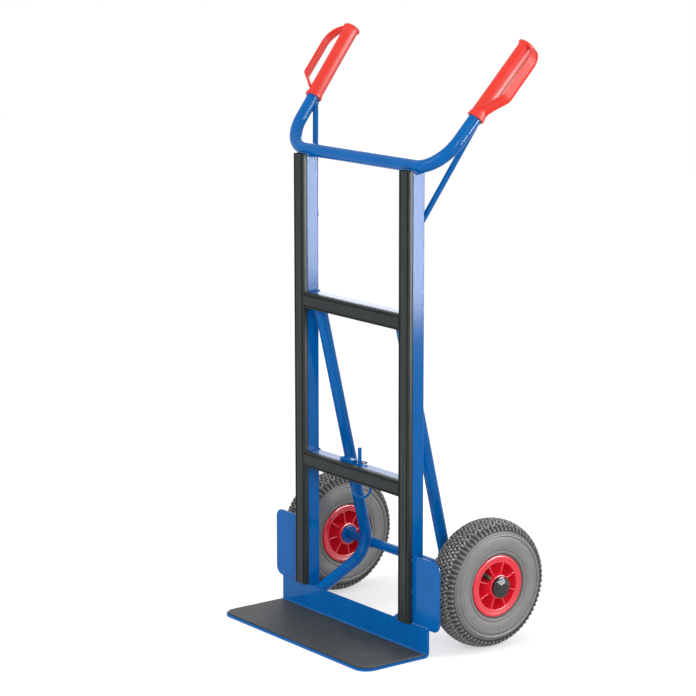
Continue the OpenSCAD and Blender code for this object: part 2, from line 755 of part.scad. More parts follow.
left_upright();
right_upright();
upper_crossbar();
lower_crossbar();
left_upright_strip();
right_upright_strip();
upper_crossbar_strip();
lower_crossbar_strip();
toe_plate();
toe_mat();
left_wheel_guard();
right_wheel_guard();
handle_bow();
left_handle_stay();
right_handle_stay();
left_grip();
right_grip();
left_brace();
right_brace();
axle();
left_stop_collar();
right_stop_collar();
left_tyre();
right_tyre();
left_rim();
right_rim();
left_inner_tube();
right_inner_tube();
left_valve();
right_valve();
left_bearing_cages();
right_bearing_cages();
left_bearing_rollers();
right_bearing_rollers();
left_washer();
right_washer();
left_hub_cap();
right_hub_cap();
rod_bush();
rod_stop();
ring_rod();
spring_clip();
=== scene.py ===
"""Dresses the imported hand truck: powder-coated tubes and sheet, extruded load strips, red
moulded grips and rims, grey air tyres, and the weld beads that hold the frame together.

Shapes are built in millimetres in the truck's own frame: +X to the right, +Y from the toe
plate to the wheels with zero on the tubes' front faces, and +Z up from the floor. One step,
Mesh.to_piece, turns them to the shared frame in metres.
"""
import logging
import math
from dataclasses import dataclass, replace
from enum import Enum
from typing import Callable, Iterable, Optional, Sequence

import bmesh
import bpy
from mathutils import Matrix, Vector


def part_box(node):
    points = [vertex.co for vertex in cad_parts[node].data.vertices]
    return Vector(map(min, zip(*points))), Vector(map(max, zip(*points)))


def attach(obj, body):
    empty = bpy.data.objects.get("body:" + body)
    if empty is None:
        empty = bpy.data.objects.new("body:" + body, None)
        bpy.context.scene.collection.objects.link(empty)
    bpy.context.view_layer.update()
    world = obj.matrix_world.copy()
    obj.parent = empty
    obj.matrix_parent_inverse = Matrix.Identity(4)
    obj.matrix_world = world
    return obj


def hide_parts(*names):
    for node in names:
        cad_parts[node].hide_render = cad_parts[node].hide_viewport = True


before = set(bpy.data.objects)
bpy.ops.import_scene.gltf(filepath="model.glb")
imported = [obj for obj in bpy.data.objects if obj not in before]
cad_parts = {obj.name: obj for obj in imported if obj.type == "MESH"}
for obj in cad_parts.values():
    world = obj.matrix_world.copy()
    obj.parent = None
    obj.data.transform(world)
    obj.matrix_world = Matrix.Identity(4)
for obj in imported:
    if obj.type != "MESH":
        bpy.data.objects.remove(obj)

MM = 0.001
SIDES = {"left": -1, "right": 1}
LOG = logging.getLogger("hand_truck")
Pair = tuple[float, float]
Triple = tuple[float, float, float]
X_AXIS, Y_AXIS, Z_AXIS = Vector((1, 0, 0)), Vector((0, 1, 0)), Vector((0, 0, 1))


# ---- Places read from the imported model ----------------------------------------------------


@dataclass(frozen=True)
class Box:
    """A node's box in millimetres, with Y measured from the tubes' front faces."""

    low: Vector
    high: Vector

    @property
    def size(self) -> Vector:
        """Length of the box along each axis."""
        return self.high - self.low

    @property
    def middle(self) -> Vector:
        """Middle of the box."""
        return (self.high + self.low) / 2


FRONT = Vector((0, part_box("right_upright")[0].y, 0))


def to_row(point: Vector) -> Vector:
    """Truck millimetres to metres in the shared frame."""
    return point * MM + FRONT


def box_of(node: str) -> Box:
    """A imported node's box in truck millimetres."""
    low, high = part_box(node)
    return Box((low - FRONT) / MM, (high - FRONT) / MM)


# ---- Colour and material nodes ------------------------------------------------------------


def linear(code: str) -> tuple[float, float, float, float]:
    """Turns an sRGB hex value to a linear colour.

    Args:
        code: the colour as "#rrggbb".

    Returns:
        Red, green, blue and alpha.
    """
    parts = [int(code[i:i + 2], 16) / 255 for i in (1, 3, 5)]
    light = [c / 12.92 if c <= 0.04045 else ((c + 0.055) / 1.055) ** 2.4 for c in parts]
    return (light[0], light[1], light[2], 1.0)


def add_node(tree: bpy.types.NodeTree, kind: str, links: Optional[dict] = None,
             **settings: object) -> bpy.types.Node:
    """Adds one node.

    Args:
        tree: the node tree that gets the node.
        kind: the node's type name.
        links: for each input, by name or number, a value or the output socket that feeds it.
        settings: the node's own properties.

    Returns:
        The new node.
    """
    made = tree.nodes.new(kind)
    for name, value in settings.items():
        setattr(made, name, value)
    for name, value in (links or {}).items():
        if isinstance(value, bpy.types.NodeSocket):
            tree.links.new(value, made.inputs[name])
        else:
            made.inputs[name].default_value = value
    return made


# Sockets of a Mix node that mixes colours
MIX_SHARE, MIX_FIRST, MIX_SECOND, MIX_COLOUR = 0, 6, 7, 2
# Noise keeps near its middle, so this part of its range is spread over the whole pattern
MOTTLE_SPAN = {"From Min": 0.35, "From Max": 0.65}
GRAIN_SPAN = {"From Min": 0.3, "From Max": 0.7}


class Grain(Enum):
    """Which way a surface's marks run, as the stretch of its pattern along X, Y and Z."""

    EVEN = (1.0, 1.0, 1.0)
    ALONG_X = (0.02, 1.0, 1.0)
    ALONG_Z = (1.0, 1.0, 0.02)


@dataclass(frozen=True)
class Finish:
    """One surface finish, built from a Principled shader with procedural detail.

    Fields in millimetres are the size of the pattern that they scale.
    """

    name: str
    slot: str
    colour: str
    deep: str
    roughness: float
    grain_mm: float
    grain_depth: float
    rough_spread: float = 0.06
    mottle_mm: float = 60.0
    mottle: float = 0.35
    grain: Grain = Grain.EVEN
    metallic: float = 0.0
    specular: float = 0.5
    cells_mm: float = 0.0

    def build(self) -> bpy.types.Material:
        """Makes the material once, and then shares it.

        Returns:
            The material.
        """
        made = bpy.data.materials.get(self.name)
        if made:
            return made
        made = bpy.data.materials.new(self.name)
        made.use_nodes = True
        tree = made.node_tree
        tree.nodes.clear()
        place = add_node(tree, "ShaderNodeTexCoord").outputs["Object"]
        stretched = add_node(tree, "ShaderNodeMapping", {"Vector": place,
                             "Scale": self.grain.value}).outputs["Vector"]
        mottle = add_node(tree, "ShaderNodeTexNoise", {"Vector": place, "Detail": 4.0,
                          "Roughness": 0.55, "Scale": 1 / (self.mottle_mm * MM)})
        fine = add_node(tree, "ShaderNodeTexNoise", {"Vector": stretched, "Detail": 3.0,
                        "Roughness": 0.6, "Scale": 1 / (self.grain_mm * MM)})
        share = add_node(tree, "ShaderNodeMapRange", {"Value": mottle.outputs["Fac"],
                         "To Min": 0.0, "To Max": self.mottle, **MOTTLE_SPAN})
        colour = add_node(tree, "ShaderNodeMix", {
            MIX_SHARE: share.outputs["Result"], MIX_FIRST: linear(self.colour),
            MIX_SECOND: linear(self.deep)}, data_type="RGBA")
        rough = add_node(tree, "ShaderNodeMapRange", {"Value": fine.outputs["Fac"],
                         "To Min": self.roughness - self.rough_spread,
                         "To Max": self.roughness + self.rough_spread, **GRAIN_SPAN})
        height = fine.outputs["Fac"]
        if self.cells_mm:
            height = add_node(tree, "ShaderNodeTexVoronoi", {"Vector": place,
                              "Scale": 1 / (self.cells_mm * MM)}).outputs["Distance"]
        bump = add_node(tree, "ShaderNodeBump", {"Height": height, "Strength": 1.0,
                        "Distance": self.grain_depth * MM})
        shader = add_node(tree, "ShaderNodeBsdfPrincipled", {
            "Base Color": colour.outputs[MIX_COLOUR], "Roughness": rough.outputs["Result"],
            "Normal": bump.outputs["Normal"],
            "Metallic": self.metallic, "Specular IOR Level": self.specular})
        add_node(tree, "ShaderNodeOutputMaterial", {"Surface": shader.outputs["BSDF"]})
        return made


# Polyester powder, sprayed and baked on steel: deep blue under a smooth glossy skin, whose
# orange peel breaks up the edge of each reflection. The real peel, of about 3 mm, is too fine
# to show and is drawn at 6 mm.
POWDER_COAT = Finish("blue_polyester_powder_coat", "blue_powder_coat", "#0064AF", "#0059A0",
                     roughness=0.13, grain_mm=6.0, grain_depth=0.002, rough_spread=0.006,
                     mottle_mm=45, mottle=0.5, specular=0.12)
# The same coat where it flowed over a weld: a little darker, with a coarse scale that catches
# the light in small glints
WELD_COAT = replace(POWDER_COAT, name="powder_coat_over_weld", colour="#005EA8",
                    deep="#00498C", roughness=0.14, grain_mm=3.0, grain_depth=0.16,
                    rough_spread=0.04, mottle_mm=6, mottle=0.7, specular=0.6)
# PVC drawn through a die: satin dark grey, with draw lines along its length. The real lines
# are too fine to show and are drawn at 1.4 mm.
STRIP_UPRIGHT = Finish("extruded_pvc_upright", "anthracite_plastic", "#2E3434", "#242A2A",
                       roughness=0.38, grain_mm=1.4, grain_depth=0.015, rough_spread=0.07,
                       mottle_mm=70, mottle=0.8, specular=0.14, grain=Grain.ALONG_Z)
# The same strip laid crosswise: its lines run along X, and it is a shade darker as painted shade,
# since the crossbars face the light less
STRIP_ACROSS = replace(STRIP_UPRIGHT, name="extruded_pvc_crosswise_painted_shade", colour="#2B3030",
                       deep="#222727", grain=Grain.ALONG_X)
# Calendered rubber sheet: matt dark grey in soft patches, with a fine leathery cell
MAT_RUBBER = Finish("calendered_rubber_sheet", "mat_rubber", "#3E4142", "#323536",
                    roughness=0.6, grain_mm=2.0, grain_depth=0.1, rough_spread=0.12,
                    mottle_mm=38, mottle=1.0, cells_mm=1.3, specular=0.35)
# Soft PVC, moulded: satin orange red, smooth and a little waxy
GRIP_PVC = Finish("moulded_soft_pvc", "grip_plastic", "#E83A2C", "#DE2B20",
                  roughness=0.45, grain_mm=9.0, grain_depth=0.001, rough_spread=0.008,
                  mottle_mm=30, mottle=0.6, specular=0.32)
# Polypropylene, injection moulded: clear glossy red with slight flow marks
RIM_PP = Finish("moulded_polypropylene", "rim_plastic", "#F2283E", "#E41E32",
                roughness=0.26, grain_mm=7.0, grain_depth=0.002, rough_spread=0.015,
                mottle_mm=22, mottle=0.7)
# Non-marking grey rubber, vulcanised in a mould: matt and dusty, in two close greys
TYRE_RUBBER = Finish("vulcanised_grey_rubber", "tyre_rubber", "#706F6D", "#656462",
                     roughness=0.6, grain_mm=0.9, grain_depth=0.04, rough_spread=0.1,
                     mottle_mm=18, mottle=0.8)
# The same rubber in the tread's grooves: darkened as painted shade, with less sheen
GROOVE_SHADE_RUBBER = replace(TYRE_RUBBER, name="grey_rubber_painted_groove_shade", colour="#3E3E3C",
                        deep="#343433", roughness=0.75, mottle_mm=12, specular=0.3)
# The same rubber on the tread blocks' top faces: a painted highlight, pale in small spots
PAINTED_HIGHLIGHT_RUBBER = replace(TYRE_RUBBER, name="grey_rubber_painted_highlight", colour="#AEAEAA",
                         deep="#545452", roughness=0.5, grain_mm=1.4, grain_depth=0.3,
                         rough_spread=0.15, mottle_mm=3.2, mottle=1.0)
# Butyl rubber, moulded and cured: plain matt black, hidden inside the tyre
BUTYL = Finish("butyl_rubber", "tube_rubber", "#202022", "#18181A", roughness=0.6,
               grain_mm=0.8, grain_depth=0.02)
# Rubber moulded over the valve's tube: satin black
VALVE_RUBBER = Finish("moulded_valve_rubber", "valve_rubber", "#141512", "#0D0E0B",
                      roughness=0.45, grain_mm=0.8, grain_depth=0.02, specular=0.2)
# Turned brass, dulled to a dark olive by age
VALVE_BRASS = Finish("aged_brass", "valve_rubber", "#4E4628", "#38321C", roughness=0.42,
                     grain_mm=0.5, grain_depth=0.02, metallic=0.8)
# Nylon, injection moulded and polished in its mould: black, with crisp reflections
CAP_PLASTIC = Finish("moulded_black_nylon", "cap_plastic", "#09090C", "#060608",
                     roughness=0.09, grain_mm=9.0, grain_depth=0.001, rough_spread=0.03,
                     mottle_mm=12, specular=0.55)
# Zinc plate, passivated: pale bluish metal with a faint spangle
ZINC = Finish("zinc_plated_steel", "zinc_steel", "#B9BDC2", "#A4A9AE", roughness=0.34,
              grain_mm=0.6, grain_depth=0.01, metallic=1.0, mottle_mm=4, mottle=0.6)
# Hardened steel, ground: bright metal with tight reflections, hidden inside the hub
BEARING = Finish("ground_bearing_steel", "bearing_steel", "#C2C4C6", "#B2B4B6",
                 roughness=0.2, grain_mm=0.3, grain_depth=0.005, metallic=1.0)
# Natural nylon, injection moulded: satin cream, hidden inside the hub
CAGE = Finish("moulded_natural_nylon", "cage_plastic", "#DDD7C6", "#CFC8B4",
              roughness=0.45, grain_mm=0.8, grain_depth=0.01)
# Spring wire, drawn and oiled: near black with a dull sheen
SPRING = Finish("oiled_spring_wire", "spring_wire", "#0C0D0F", "#08080A", roughness=0.5,
                grain_mm=0.4, grain_depth=0.01, specular=0.2)


# ---- Paths and sections -------------------------------------------------------------------


def arc(radius: float, start: float, end: float, steps: int, x: float = 0.0,
        y: float = 0.0) -> list[Pair]:
    """Points on a circle from one angle to another, in degrees, ends included."""
    turns = [math.radians(start + (end - start) * i / steps) for i in range(steps + 1)]
    return [(x + radius * math.cos(t), y + radius * math.sin(t)) for t in turns]


def circle(radius: float, sides: int) -> list[Pair]:
    """A closed ring of points."""
    return arc(radius, 0, 360, sides)[:-1]


def mirrored(right: Sequence[Pair], middle: Sequence[Pair] = ()) -> list[Pair]:
    """An outline's right half, what lies in its middle, and its left half as a mirror image."""
    return [*right, *middle, *((-x, y) for x, y in reversed(right))]


def about_x(along: float, radius: float, turn: float) -> Vector:
    """A point at one distance along the X axis, radius and angle about it."""
    return Vector((along, radius * math.sin(turn), radius * math.cos(turn)))


def rounded_path(points: Sequence[Vector], radius: float, step: float = 5.0) -> list[Vector]:
    """Rounds a path's inner corners.

    Args:
        points: the corners in order.
        radius: bend radius.
        step: angle between points on a bend, in degrees.

    Returns:
        The points of the rounded path.
    """
    path = [points[0].copy()]
    for before, corner, after in zip(points, points[1:], points[2:]):
        back, ahead = (before - corner).normalized(), (after - corner).normalized()
        turn = math.pi - back.angle(ahead)
        reach = radius * math.tan(turn / 2)
        centre = corner + (back + ahead).normalized() * radius / math.cos(turn / 2)
        first, last = corner + back * reach - centre, corner + ahead * reach - centre
        count = max(2, round(math.degrees(turn) / step))
        for i in range(count + 1):
            path.append(centre + Matrix.Rotation(turn * i / count, 3, first.cross(last)) @ first)
    path.append(points[-1].copy())
    return path


def spread(path: Sequence[Vector], gap: float) -> list[Vector]:
    """Adds points to a path.

    Args:
        path: the points in order.
        gap: the most that two neighbours may be apart afterwards.

    Returns:
        The path with the added points.
    """
    filled = [path[0]]
    for a, b in zip(path, path[1:]):
        count = max(1, math.ceil((b - a).length / gap))
        filled += [a.lerp(b, (i + 1) / count) for i in range(count)]
    return filled


CUT_POINTS = 36


def cut_ring(centre: Vector, way: Vector, radius: float, point: Vector,
             normal: Vector) -> list[Vector]:
    """The line where a round bar meets a plane.

    Args:
        centre: a point on the bar's axis.
        way: the bar's direction.
        radius: the bar's radius.
        point: a point on the plane.
        normal: the plane's normal.

    Returns:
        Points round the bar, on the plane.
    """
    side = way.orthogonal().normalized()
    up = way.cross(side)
    ring = [centre + side * u + up * v for u, v in circle(radius, CUT_POINTS)]
    return [p + way * (point - p).dot(normal) / way.dot(normal) for p in ring]


# ---- Meshes and pieces --------------------------------------------------------------------


def add_object(name: str, data: bpy.types.ID) -> bpy.types.Object:
    """Makes an object and links it to the scene.

    Args:
        name: the object's name.
        data: its mesh, lamp or camera.

    Returns:
        The object.
    """
    made = bpy.data.objects.new(name, data)
    bpy.context.scene.collection.objects.link(made)
    return made


MERGE_DISTANCE = 1e-4
BEVEL_SEGMENTS = 3
BEVEL_FROM = math.radians(30)


class Mesh:
    """A mesh under construction, in truck millimetres."""

    def __init__(self) -> None:
        """Starts empty."""
        self.bm = bmesh.new()

    def skin(self, rings: Sequence[Sequence[Vector]],
             closed: bool = False) -> Optional[bmesh.types.BMFace]:
        """Joins rings of points with faces, and fills both end rings if they are open.

        Args:
            rings: the rings in order, each with the same number of points.
            closed: whether the last ring joins the first.

        Returns:
            The face that fills the last ring, or None where the skin is closed.
        """
        made = [[self.bm.verts.new(p) for p in ring] for ring in rings]
        pairs = list(zip(made, made[1:])) + ([(made[-1], made[0])] if closed else [])
        for a, b in pairs:
            for i in range(len(a)):
                j = (i + 1) % len(a)
                self.bm.faces.new((a[i], a[j], b[j], b[i]))
        if closed:
            return None
        self.bm.faces.new(made[0])
        return self.bm.faces.new(made[-1])

    def sweep(self, path: Sequence[Vector], section: Sequence[Pair], up: Vector,
              closed: bool = False, size: Optional[Callable[[int], float]] = None,
              roll: Optional[Callable[[int], float]] = None,
              planes: Sequence[Optional[tuple[Vector, Vector]]] = (None, None)) -> "Mesh":
        """Carries a section along a path without twist.

        Args:
            path: the points of the centre line.
            section: the outline, first number along the side, second along up.
            up: the direction of the section's second number at the start.
            closed: whether the path is a loop.
            size: scale of the section at each point.
            roll: angle of the section about the path at each point, in radians.
            planes: for the first and last end, the plane (point, normal) that cuts it.

        Returns:
            This mesh.
        """
        rings, count = [], len(path)
        for i, point in enumerate(path):
            ahead = path[(i + 1) % count] if closed or i < count - 1 else point
            behind = path[i - 1] if closed or i > 0 else point
            way = ((ahead - point).normalized() + (point - behind).normalized()).normalized()
            up = (up - way * up.dot(way)).normalized()
            top = Matrix.Rotation(roll(i), 3, way) @ up if roll else up
            side, scale = way.cross(top), size(i) if size else 1.0
            ring = [point + (side * u + top * v) * scale for u, v in section]
            plane = planes[0] if i == 0 else planes[1] if i == count - 1 else None
            if plane:
                ring = [p + way * (plane[0] - p).dot(plane[1]) / way.dot(plane[1]) for p in ring]
            rings.append(ring)
        self.skin(rings, closed)
        return self

    def lathe(self, profile: Sequence[Pair], segments: int) -> "Mesh":
        """Turns a closed profile about the X axis.

        Args:
            profile: its points as (distance along X, radius).
            segments: steps in the full turn.

        Returns:
            This mesh.
        """
        turns = [2 * math.pi * i / segments for i in range(segments)]
        self.skin([[about_x(a, r, t) for a, r in profile] for t in turns], True)
        return self

    def prism(self, outline: Sequence[Pair], low: float, high: float,
              place: Callable[[float, float, float], Vector]) -> "Mesh":
        """Extrudes an outline.

        Args:
            outline: the points in order.
            low: where the extrusion starts.
            high: where it ends.
            place: turns (outline first, outline second, height) to a point.

        Returns:
            This mesh.
        """
        self.skin([[place(u, v, h) for u, v in outline] for h in (low, high)])
        return self

    def moved(self, matrix: Matrix) -> "Mesh":
        """Moves everything built so far."""
        self.bm.transform(matrix)
        return self

    def to_piece(self, name: str, finish: Finish, body: str, stands_for: Iterable[str] = (),
                 bevel: float = 0.0, smooth: float = 35.0) -> bpy.types.Object:
        """Makes the piece and hangs it on its body.

        Args:
            name: the piece's name.
            finish: its surface.
            body: the moving body that it rides on.
            stands_for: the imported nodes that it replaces.
            bevel: width of the rounded edges.
            smooth: angle up to which neighbouring faces shade as one, in degrees.

        Returns:
            The piece.
        """
        bmesh.ops.remove_doubles(self.bm, verts=self.bm.verts, dist=MERGE_DISTANCE)
        bmesh.ops.recalc_face_normals(self.bm, faces=self.bm.faces)
        data = bpy.data.meshes.new(name)
        for vert in self.bm.verts:
            vert.co = to_row(vert.co)
        self.bm.to_mesh(data)
        self.bm.free()
        piece = add_object(name, data)
        data.polygons.foreach_set("use_smooth", [True] * len(data.polygons))
        data.set_sharp_from_angle(angle=math.radians(smooth))
        if bevel:
            edge = piece.modifiers.new("edge", "BEVEL")
            edge.width, edge.segments, edge.limit_method = bevel * MM, BEVEL_SEGMENTS, "ANGLE"
            edge.angle_limit = BEVEL_FROM
            edge.harden_normals = edge.use_clamp_overlap = True
        data.materials.append(finish.build())
        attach(piece, body)
        names = list(stands_for)
        if names:
            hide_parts(*names)
        LOG.info("%s: %d faces, for %s", name, len(data.polygons), ", ".join(names) or "itself")
        return piece


@dataclass(frozen=True)
class WeldBead:
    """A run of weld with overlapping ripples, tapered at its ends."""

    radius: float
    step: float = 0.7
    ripple_gap: float = 3.2
    ripple: float = 0.34
    wander: float = 0.16
    wander_turn: float = 0.31
    end_size: float = 0.45
    end_growth: float = 0.2
    sides: int = 10
    up: Triple = (0.31, 0.52, 0.79)

    def lay(self, name: str, path: Sequence[Vector], closed: bool = False) -> None:
        """Lays the bead along the line of a joint, as a piece of the frame.

        Args:
            name: the piece's name.
            path: the line of the joint.
            closed: whether the line is a loop.
        """
        line = spread(list(path) + ([path[0]] if closed else []), self.step)
        line = line[:-1] if closed else line
        last = len(line) - 1

        def size(i: int) -> float:
            """Finds the bead's scale: a saw of ripples, tapered at open ends.

            Args:
                i: number of the point.

            Returns:
                The scale.
            """
            saw = self.ripple * ((i * self.step / self.ripple_gap) % 1.0)
            ripple = 1 - saw + self.wander * math.sin(i * self.wander_turn)
            taper = min(1.0, self.end_size + self.end_growth * min(i, last - i))
            return ripple * (1.0 if closed else taper)

        Mesh().sweep(line, circle(self.radius, self.sides), Vector(self.up), closed,
                     size).to_piece(name, WELD_COAT, "frame")


def dress(node: str, finish: Finish) -> None:
    """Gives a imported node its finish.

    Args:
        node: the node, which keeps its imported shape.
        finish: its surface.
    """
    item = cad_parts[node]
    item.data.materials.clear()
    item.data.materials.append(finish.build())
    LOG.info("%s keeps its packed shape, in %s", node, finish.name)


# ---- Frame --------------------------------------------------------------------------------


UPRIGHT = box_of("right_upright")
UPPER = box_of("upper_crossbar")
LOWER = box_of("lower_crossbar")
PLATE = box_of("toe_plate")
RAIL_X, TUBE_W, TUBE_D = UPRIGHT.middle.x, UPRIGHT.size.x, UPRIGHT.size.y
FLANGE_H, FLANGE_BACK = PLATE.high.z, PLATE.high.y
CORNER_STEPS = 8
BEND_STEP = 3.0


@dataclass
class LoadStrips:
    """Extruded strips that clip over the front of the uprights and crossbars.

    The side grooves are given as points (depth, distance back), from where each one starts.
    """

    front: float = 3.8
    wrap: float = 8.0
    lip: float = 1.0
    edge: float = 2.2
    edge_steps: int = 4
    groove: float = 11.5
    groove_w: float = 2.2
    groove_d: float = 2.6
    side_groove: tuple[Pair, ...] = ((0.0, 0.0), (0.9, 0.4), (0.9, 1.3), (0.0, 1.7))
    front_groove: float = -1.6
    back_groove: float = 2.4
    foot_in: float = 0.2
    tube_corner: float = 3.0
    fit: float = 0.03
    cut_edge: float = 0.3

    def section(self) -> list[Pair]:
        """Draws the strip's section.

        Returns:
            The outline: across, and back from the tube's front face.
        """
        half, face = TUBE_W / 2 + self.lip, -self.front
        inner, g, w = TUBE_W / 2 + self.fit, self.groove, self.groove_w
        floor = face + self.groove_d
        right = [(g - w, face), (g - w / 2, floor), (g + w / 2, floor), (g + w, face)]
        right += arc(self.edge, -90, 0, self.edge_steps, half - self.edge, face + self.edge)
        for y in (self.front_groove, self.wrap - self.back_groove):
            right += [(half - depth, y + back) for depth, back in self.side_groove]
        right += [(half - self.foot_in, self.wrap), (inner, self.wrap)]
        right += arc(self.tube_corner, 0, -90, self.edge_steps, inner - self.tube_corner,
                     self.tube_corner - self.fit)
        return mirrored(right)

    def build(self) -> None:
        """Makes the four strips."""
        outline = self.section()
        for side, sign in SIDES.items():
            node = f"{side}_upright_strip"
            strip = box_of(node)
            Mesh().prism(outline, strip.low.z, strip.high.z,
                         lambda u, v, h: Vector((sign * RAIL_X + u, v, h))).to_piece(
                f"{node}_profile", STRIP_UPRIGHT, "frame", [node], bevel=self.cut_edge)
        # The crossbar strips take the crosswise finish, darker by a painted shade
        for node in ("upper_crossbar_strip", "lower_crossbar_strip"):
            strip = box_of(node)
            Mesh().prism(outline, strip.low.x, strip.high.x,
                         lambda u, v, h: Vector((h, v, strip.middle.z + u))).to_piece(
                f"{node}_profile", STRIP_ACROSS, "frame", [node], bevel=self.cut_edge)


@dataclass
class ToePlate:
    """Bent sheet with round front corners, and the mat glued on it."""

    thickness: float = 5.0
    bend: float = 10.0
    corner: float = 28.0
    front_steps: int = 12
    edge: float = 1.2
    mat_margin: float = 2.6
    mat_edge: float = 1.2
    half: float = PLATE.high.x
    front: float = PLATE.low.y

    def half_width(self, y: float, inset: float) -> float:
        """Finds half the width of the plate at one depth.

        Args:
            y: the depth.
            inset: how far the outline is drawn in all round.

        Returns:
            Half the width.
        """
        corner, front = self.corner - inset, self.front + inset
        into = max(0.0, min(corner, front + corner - y))
        return self.half - inset - corner + math.sqrt(max(0.0, corner ** 2 - into ** 2))

    def depths(self, inset: float) -> list[float]:
        """Finds where the plate's outline is sampled.

        Args:
            inset: how far the outline is drawn in all round.

        Returns:
            The depths, from the front to the bend.
        """
        corner, front = self.corner - inset, self.front + inset
        curve = [front + corner - y for _, y in arc(corner, 90, 0, self.front_steps)]
        return curve + [(curve[-1] + FLANGE_BACK - self.bend) / 2, FLANGE_BACK - self.bend]

    def build(self) -> None:
        """Makes the plate and the mat."""
        centre_y = FLANGE_BACK - self.bend
        stations = [((y, 0.0), (y, self.thickness)) for y in self.depths(0)]
        outer, inner = (arc(radius, -90, 0, CORNER_STEPS, centre_y, self.bend)[1:]
                        for radius in (self.bend, self.bend - self.thickness))
        stations += list(zip(outer, inner))
        stations.append(((FLANGE_BACK, FLANGE_H), (FLANGE_BACK - self.thickness, FLANGE_H)))
        rings = []
        for (y0, z0), (y1, z1) in stations:
            half = self.half_width(min(y0, centre_y), 0)
            rings.append([Vector((-half, y0, z0)), Vector((half, y0, z0)),
                          Vector((half, y1, z1)), Vector((-half, y1, z1))])
        plate = Mesh()
        plate.skin(rings)
        plate.to_piece("toe_plate_sheet", POWDER_COAT, "frame", ["toe_plate"], bevel=self.edge)
        mat = box_of("toe_mat")
        right = [(self.half_width(y, self.mat_margin), y) for y in self.depths(self.mat_margin)]
        Mesh().prism(mirrored(right), mat.low.z, mat.high.z,
                     lambda u, v, h: Vector((u, v, h))).to_piece(
            "toe_mat_sheet", MAT_RUBBER, "frame", ["toe_mat"], bevel=self.mat_edge)


@dataclass
class WheelGuards:
    """Sheet plates beside the uprights that keep the load off the tyres."""

    corner: float = 18.0
    edge: float = 0.9

    def build(self) -> None:
        """Makes both guards."""
        for side, sign in SIDES.items():
            node = f"{side}_wheel_guard"
            guard = box_of(node)
            near, far = sorted((abs(guard.low.x), abs(guard.high.x)))
            low, high, c = guard.low.z, guard.high.z, self.corner
            outline = [(near, high), (near, low)]
            outline += arc(c, -90, 0, CORNER_STEPS, far - c, low + c)
            outline += arc(c, 0, 90, CORNER_STEPS, far - c, high - c)
            Mesh().prism([(sign * x, z) for x, z in outline], guard.low.y, guard.high.y,
                         lambda u, v, h: Vector((u, h, v))).to_piece(
                f"{node}_sheet", POWDER_COAT, "frame", [node], bevel=self.edge)


@dataclass
class Handle:
    """Bent bow, its two stays, and where the grips sit on it."""

    tube_d: float = 26.0
    tube_sides: int = 40
    bend: float = 77.5
    z: float = 963.5
    y: float = 20.5
    half: float = 248.0
    tilt: float = math.radians(49.8)
    splay: float = math.radians(5.8)
    grip_at: float = 123.0
    grip_len: float = 178.0
    short_of_grip: float = 5.0
    stay_d: float = 11.5
    stay_sides: int = 24
    stay_foot_z: float = 844.0
    stay_inset: float = 3.0
    stay_reach: float = 114.0
    stay_bite: float = 1.0
    stay_bead: WeldBead = WeldBead(1.7)
    saddle_bead: WeldBead = WeldBead(2.9)
    saddle_steps: int = 8

    def way(self, sign: int) -> Vector:
        """Direction of one arm."""
        return Vector((sign * math.sin(self.splay), math.cos(self.splay) * math.cos(self.tilt),
                       math.cos(self.splay) * math.sin(self.tilt)))

    def at(self, sign: int, length: float) -> Vector:
        """Point on one arm's centre line, measured from the bow's corner."""
        return Vector((sign * self.half, self.y, self.z)) + self.way(sign) * length

    def build(self) -> None:
        """Makes the bow, the stays and the welds that hold them."""
        tip = self.grip_at + self.grip_len - self.short_of_grip
        path = rounded_path([self.at(-1, tip), self.at(-1, 0), self.at(1, 0), self.at(1, tip)],
                            self.bend, BEND_STEP)
        Mesh().sweep(path, circle(self.tube_d / 2, self.tube_sides), Z_AXIS - Y_AXIS).to_piece(
            "handle_bow_tube", POWDER_COAT, "frame", ["handle_bow"])
        for side, sign in SIDES.items():
            self.build_stay(side, sign)
            self.build_saddle(side, sign)

    def build_stay(self, side: str, sign: int) -> None:
        """Makes one stay and the weld at each end.

        Args:
            side: name of the side.
            sign: which way the side lies along X.
        """
        radius = self.stay_d / 2
        foot = Vector((sign * (RAIL_X - self.stay_inset), TUBE_D, self.stay_foot_z))
        under = Vector((0, math.sin(self.tilt), -math.cos(self.tilt)))
        head = self.at(sign, self.stay_reach) + under * (self.tube_d / 2 - self.stay_bite)
        head.x -= sign * self.stay_inset
        way = (head - foot).normalized()
        Mesh().sweep([foot, head], circle(radius, self.stay_sides), X_AXIS,
                     planes=((foot, Y_AXIS), None)).to_piece(
            f"{side}_handle_stay_rod", POWDER_COAT, "frame", [f"{side}_handle_stay"])
        edge = self.at(sign, self.stay_reach) + under * self.tube_d / 2
        for name, end, point, normal in (("foot", foot, foot, Y_AXIS),
                                         ("head", head, edge, under)):
            self.stay_bead.lay(f"{side}_stay_{name}_weld",
                               cut_ring(end, way, radius, point, normal), True)

    def build_saddle(self, side: str, sign: int) -> None:
        """Makes the weld where the bow sits in one upright's head.

        Args:
            side: name of the side.
            sign: which way the side lies along X.
        """
        r, steps = self.tube_d / 2, self.saddle_steps
        reach = math.acos((self.z - UPRIGHT.high.z) / r)
        x0, x1 = sign * RAIL_X - TUBE_W / 2, sign * RAIL_X + TUBE_W / 2
        turns = [reach * (i / steps - 1) for i in range(2 * steps + 1)]
        near = [Vector((x0, self.y + r * math.sin(t), self.z - r * math.cos(t))) for t in turns]
        far = [Vector((x1, p.y, p.z)) for p in reversed(near)]
        self.saddle_bead.lay(f"{side}_bow_weld", near + far, True)


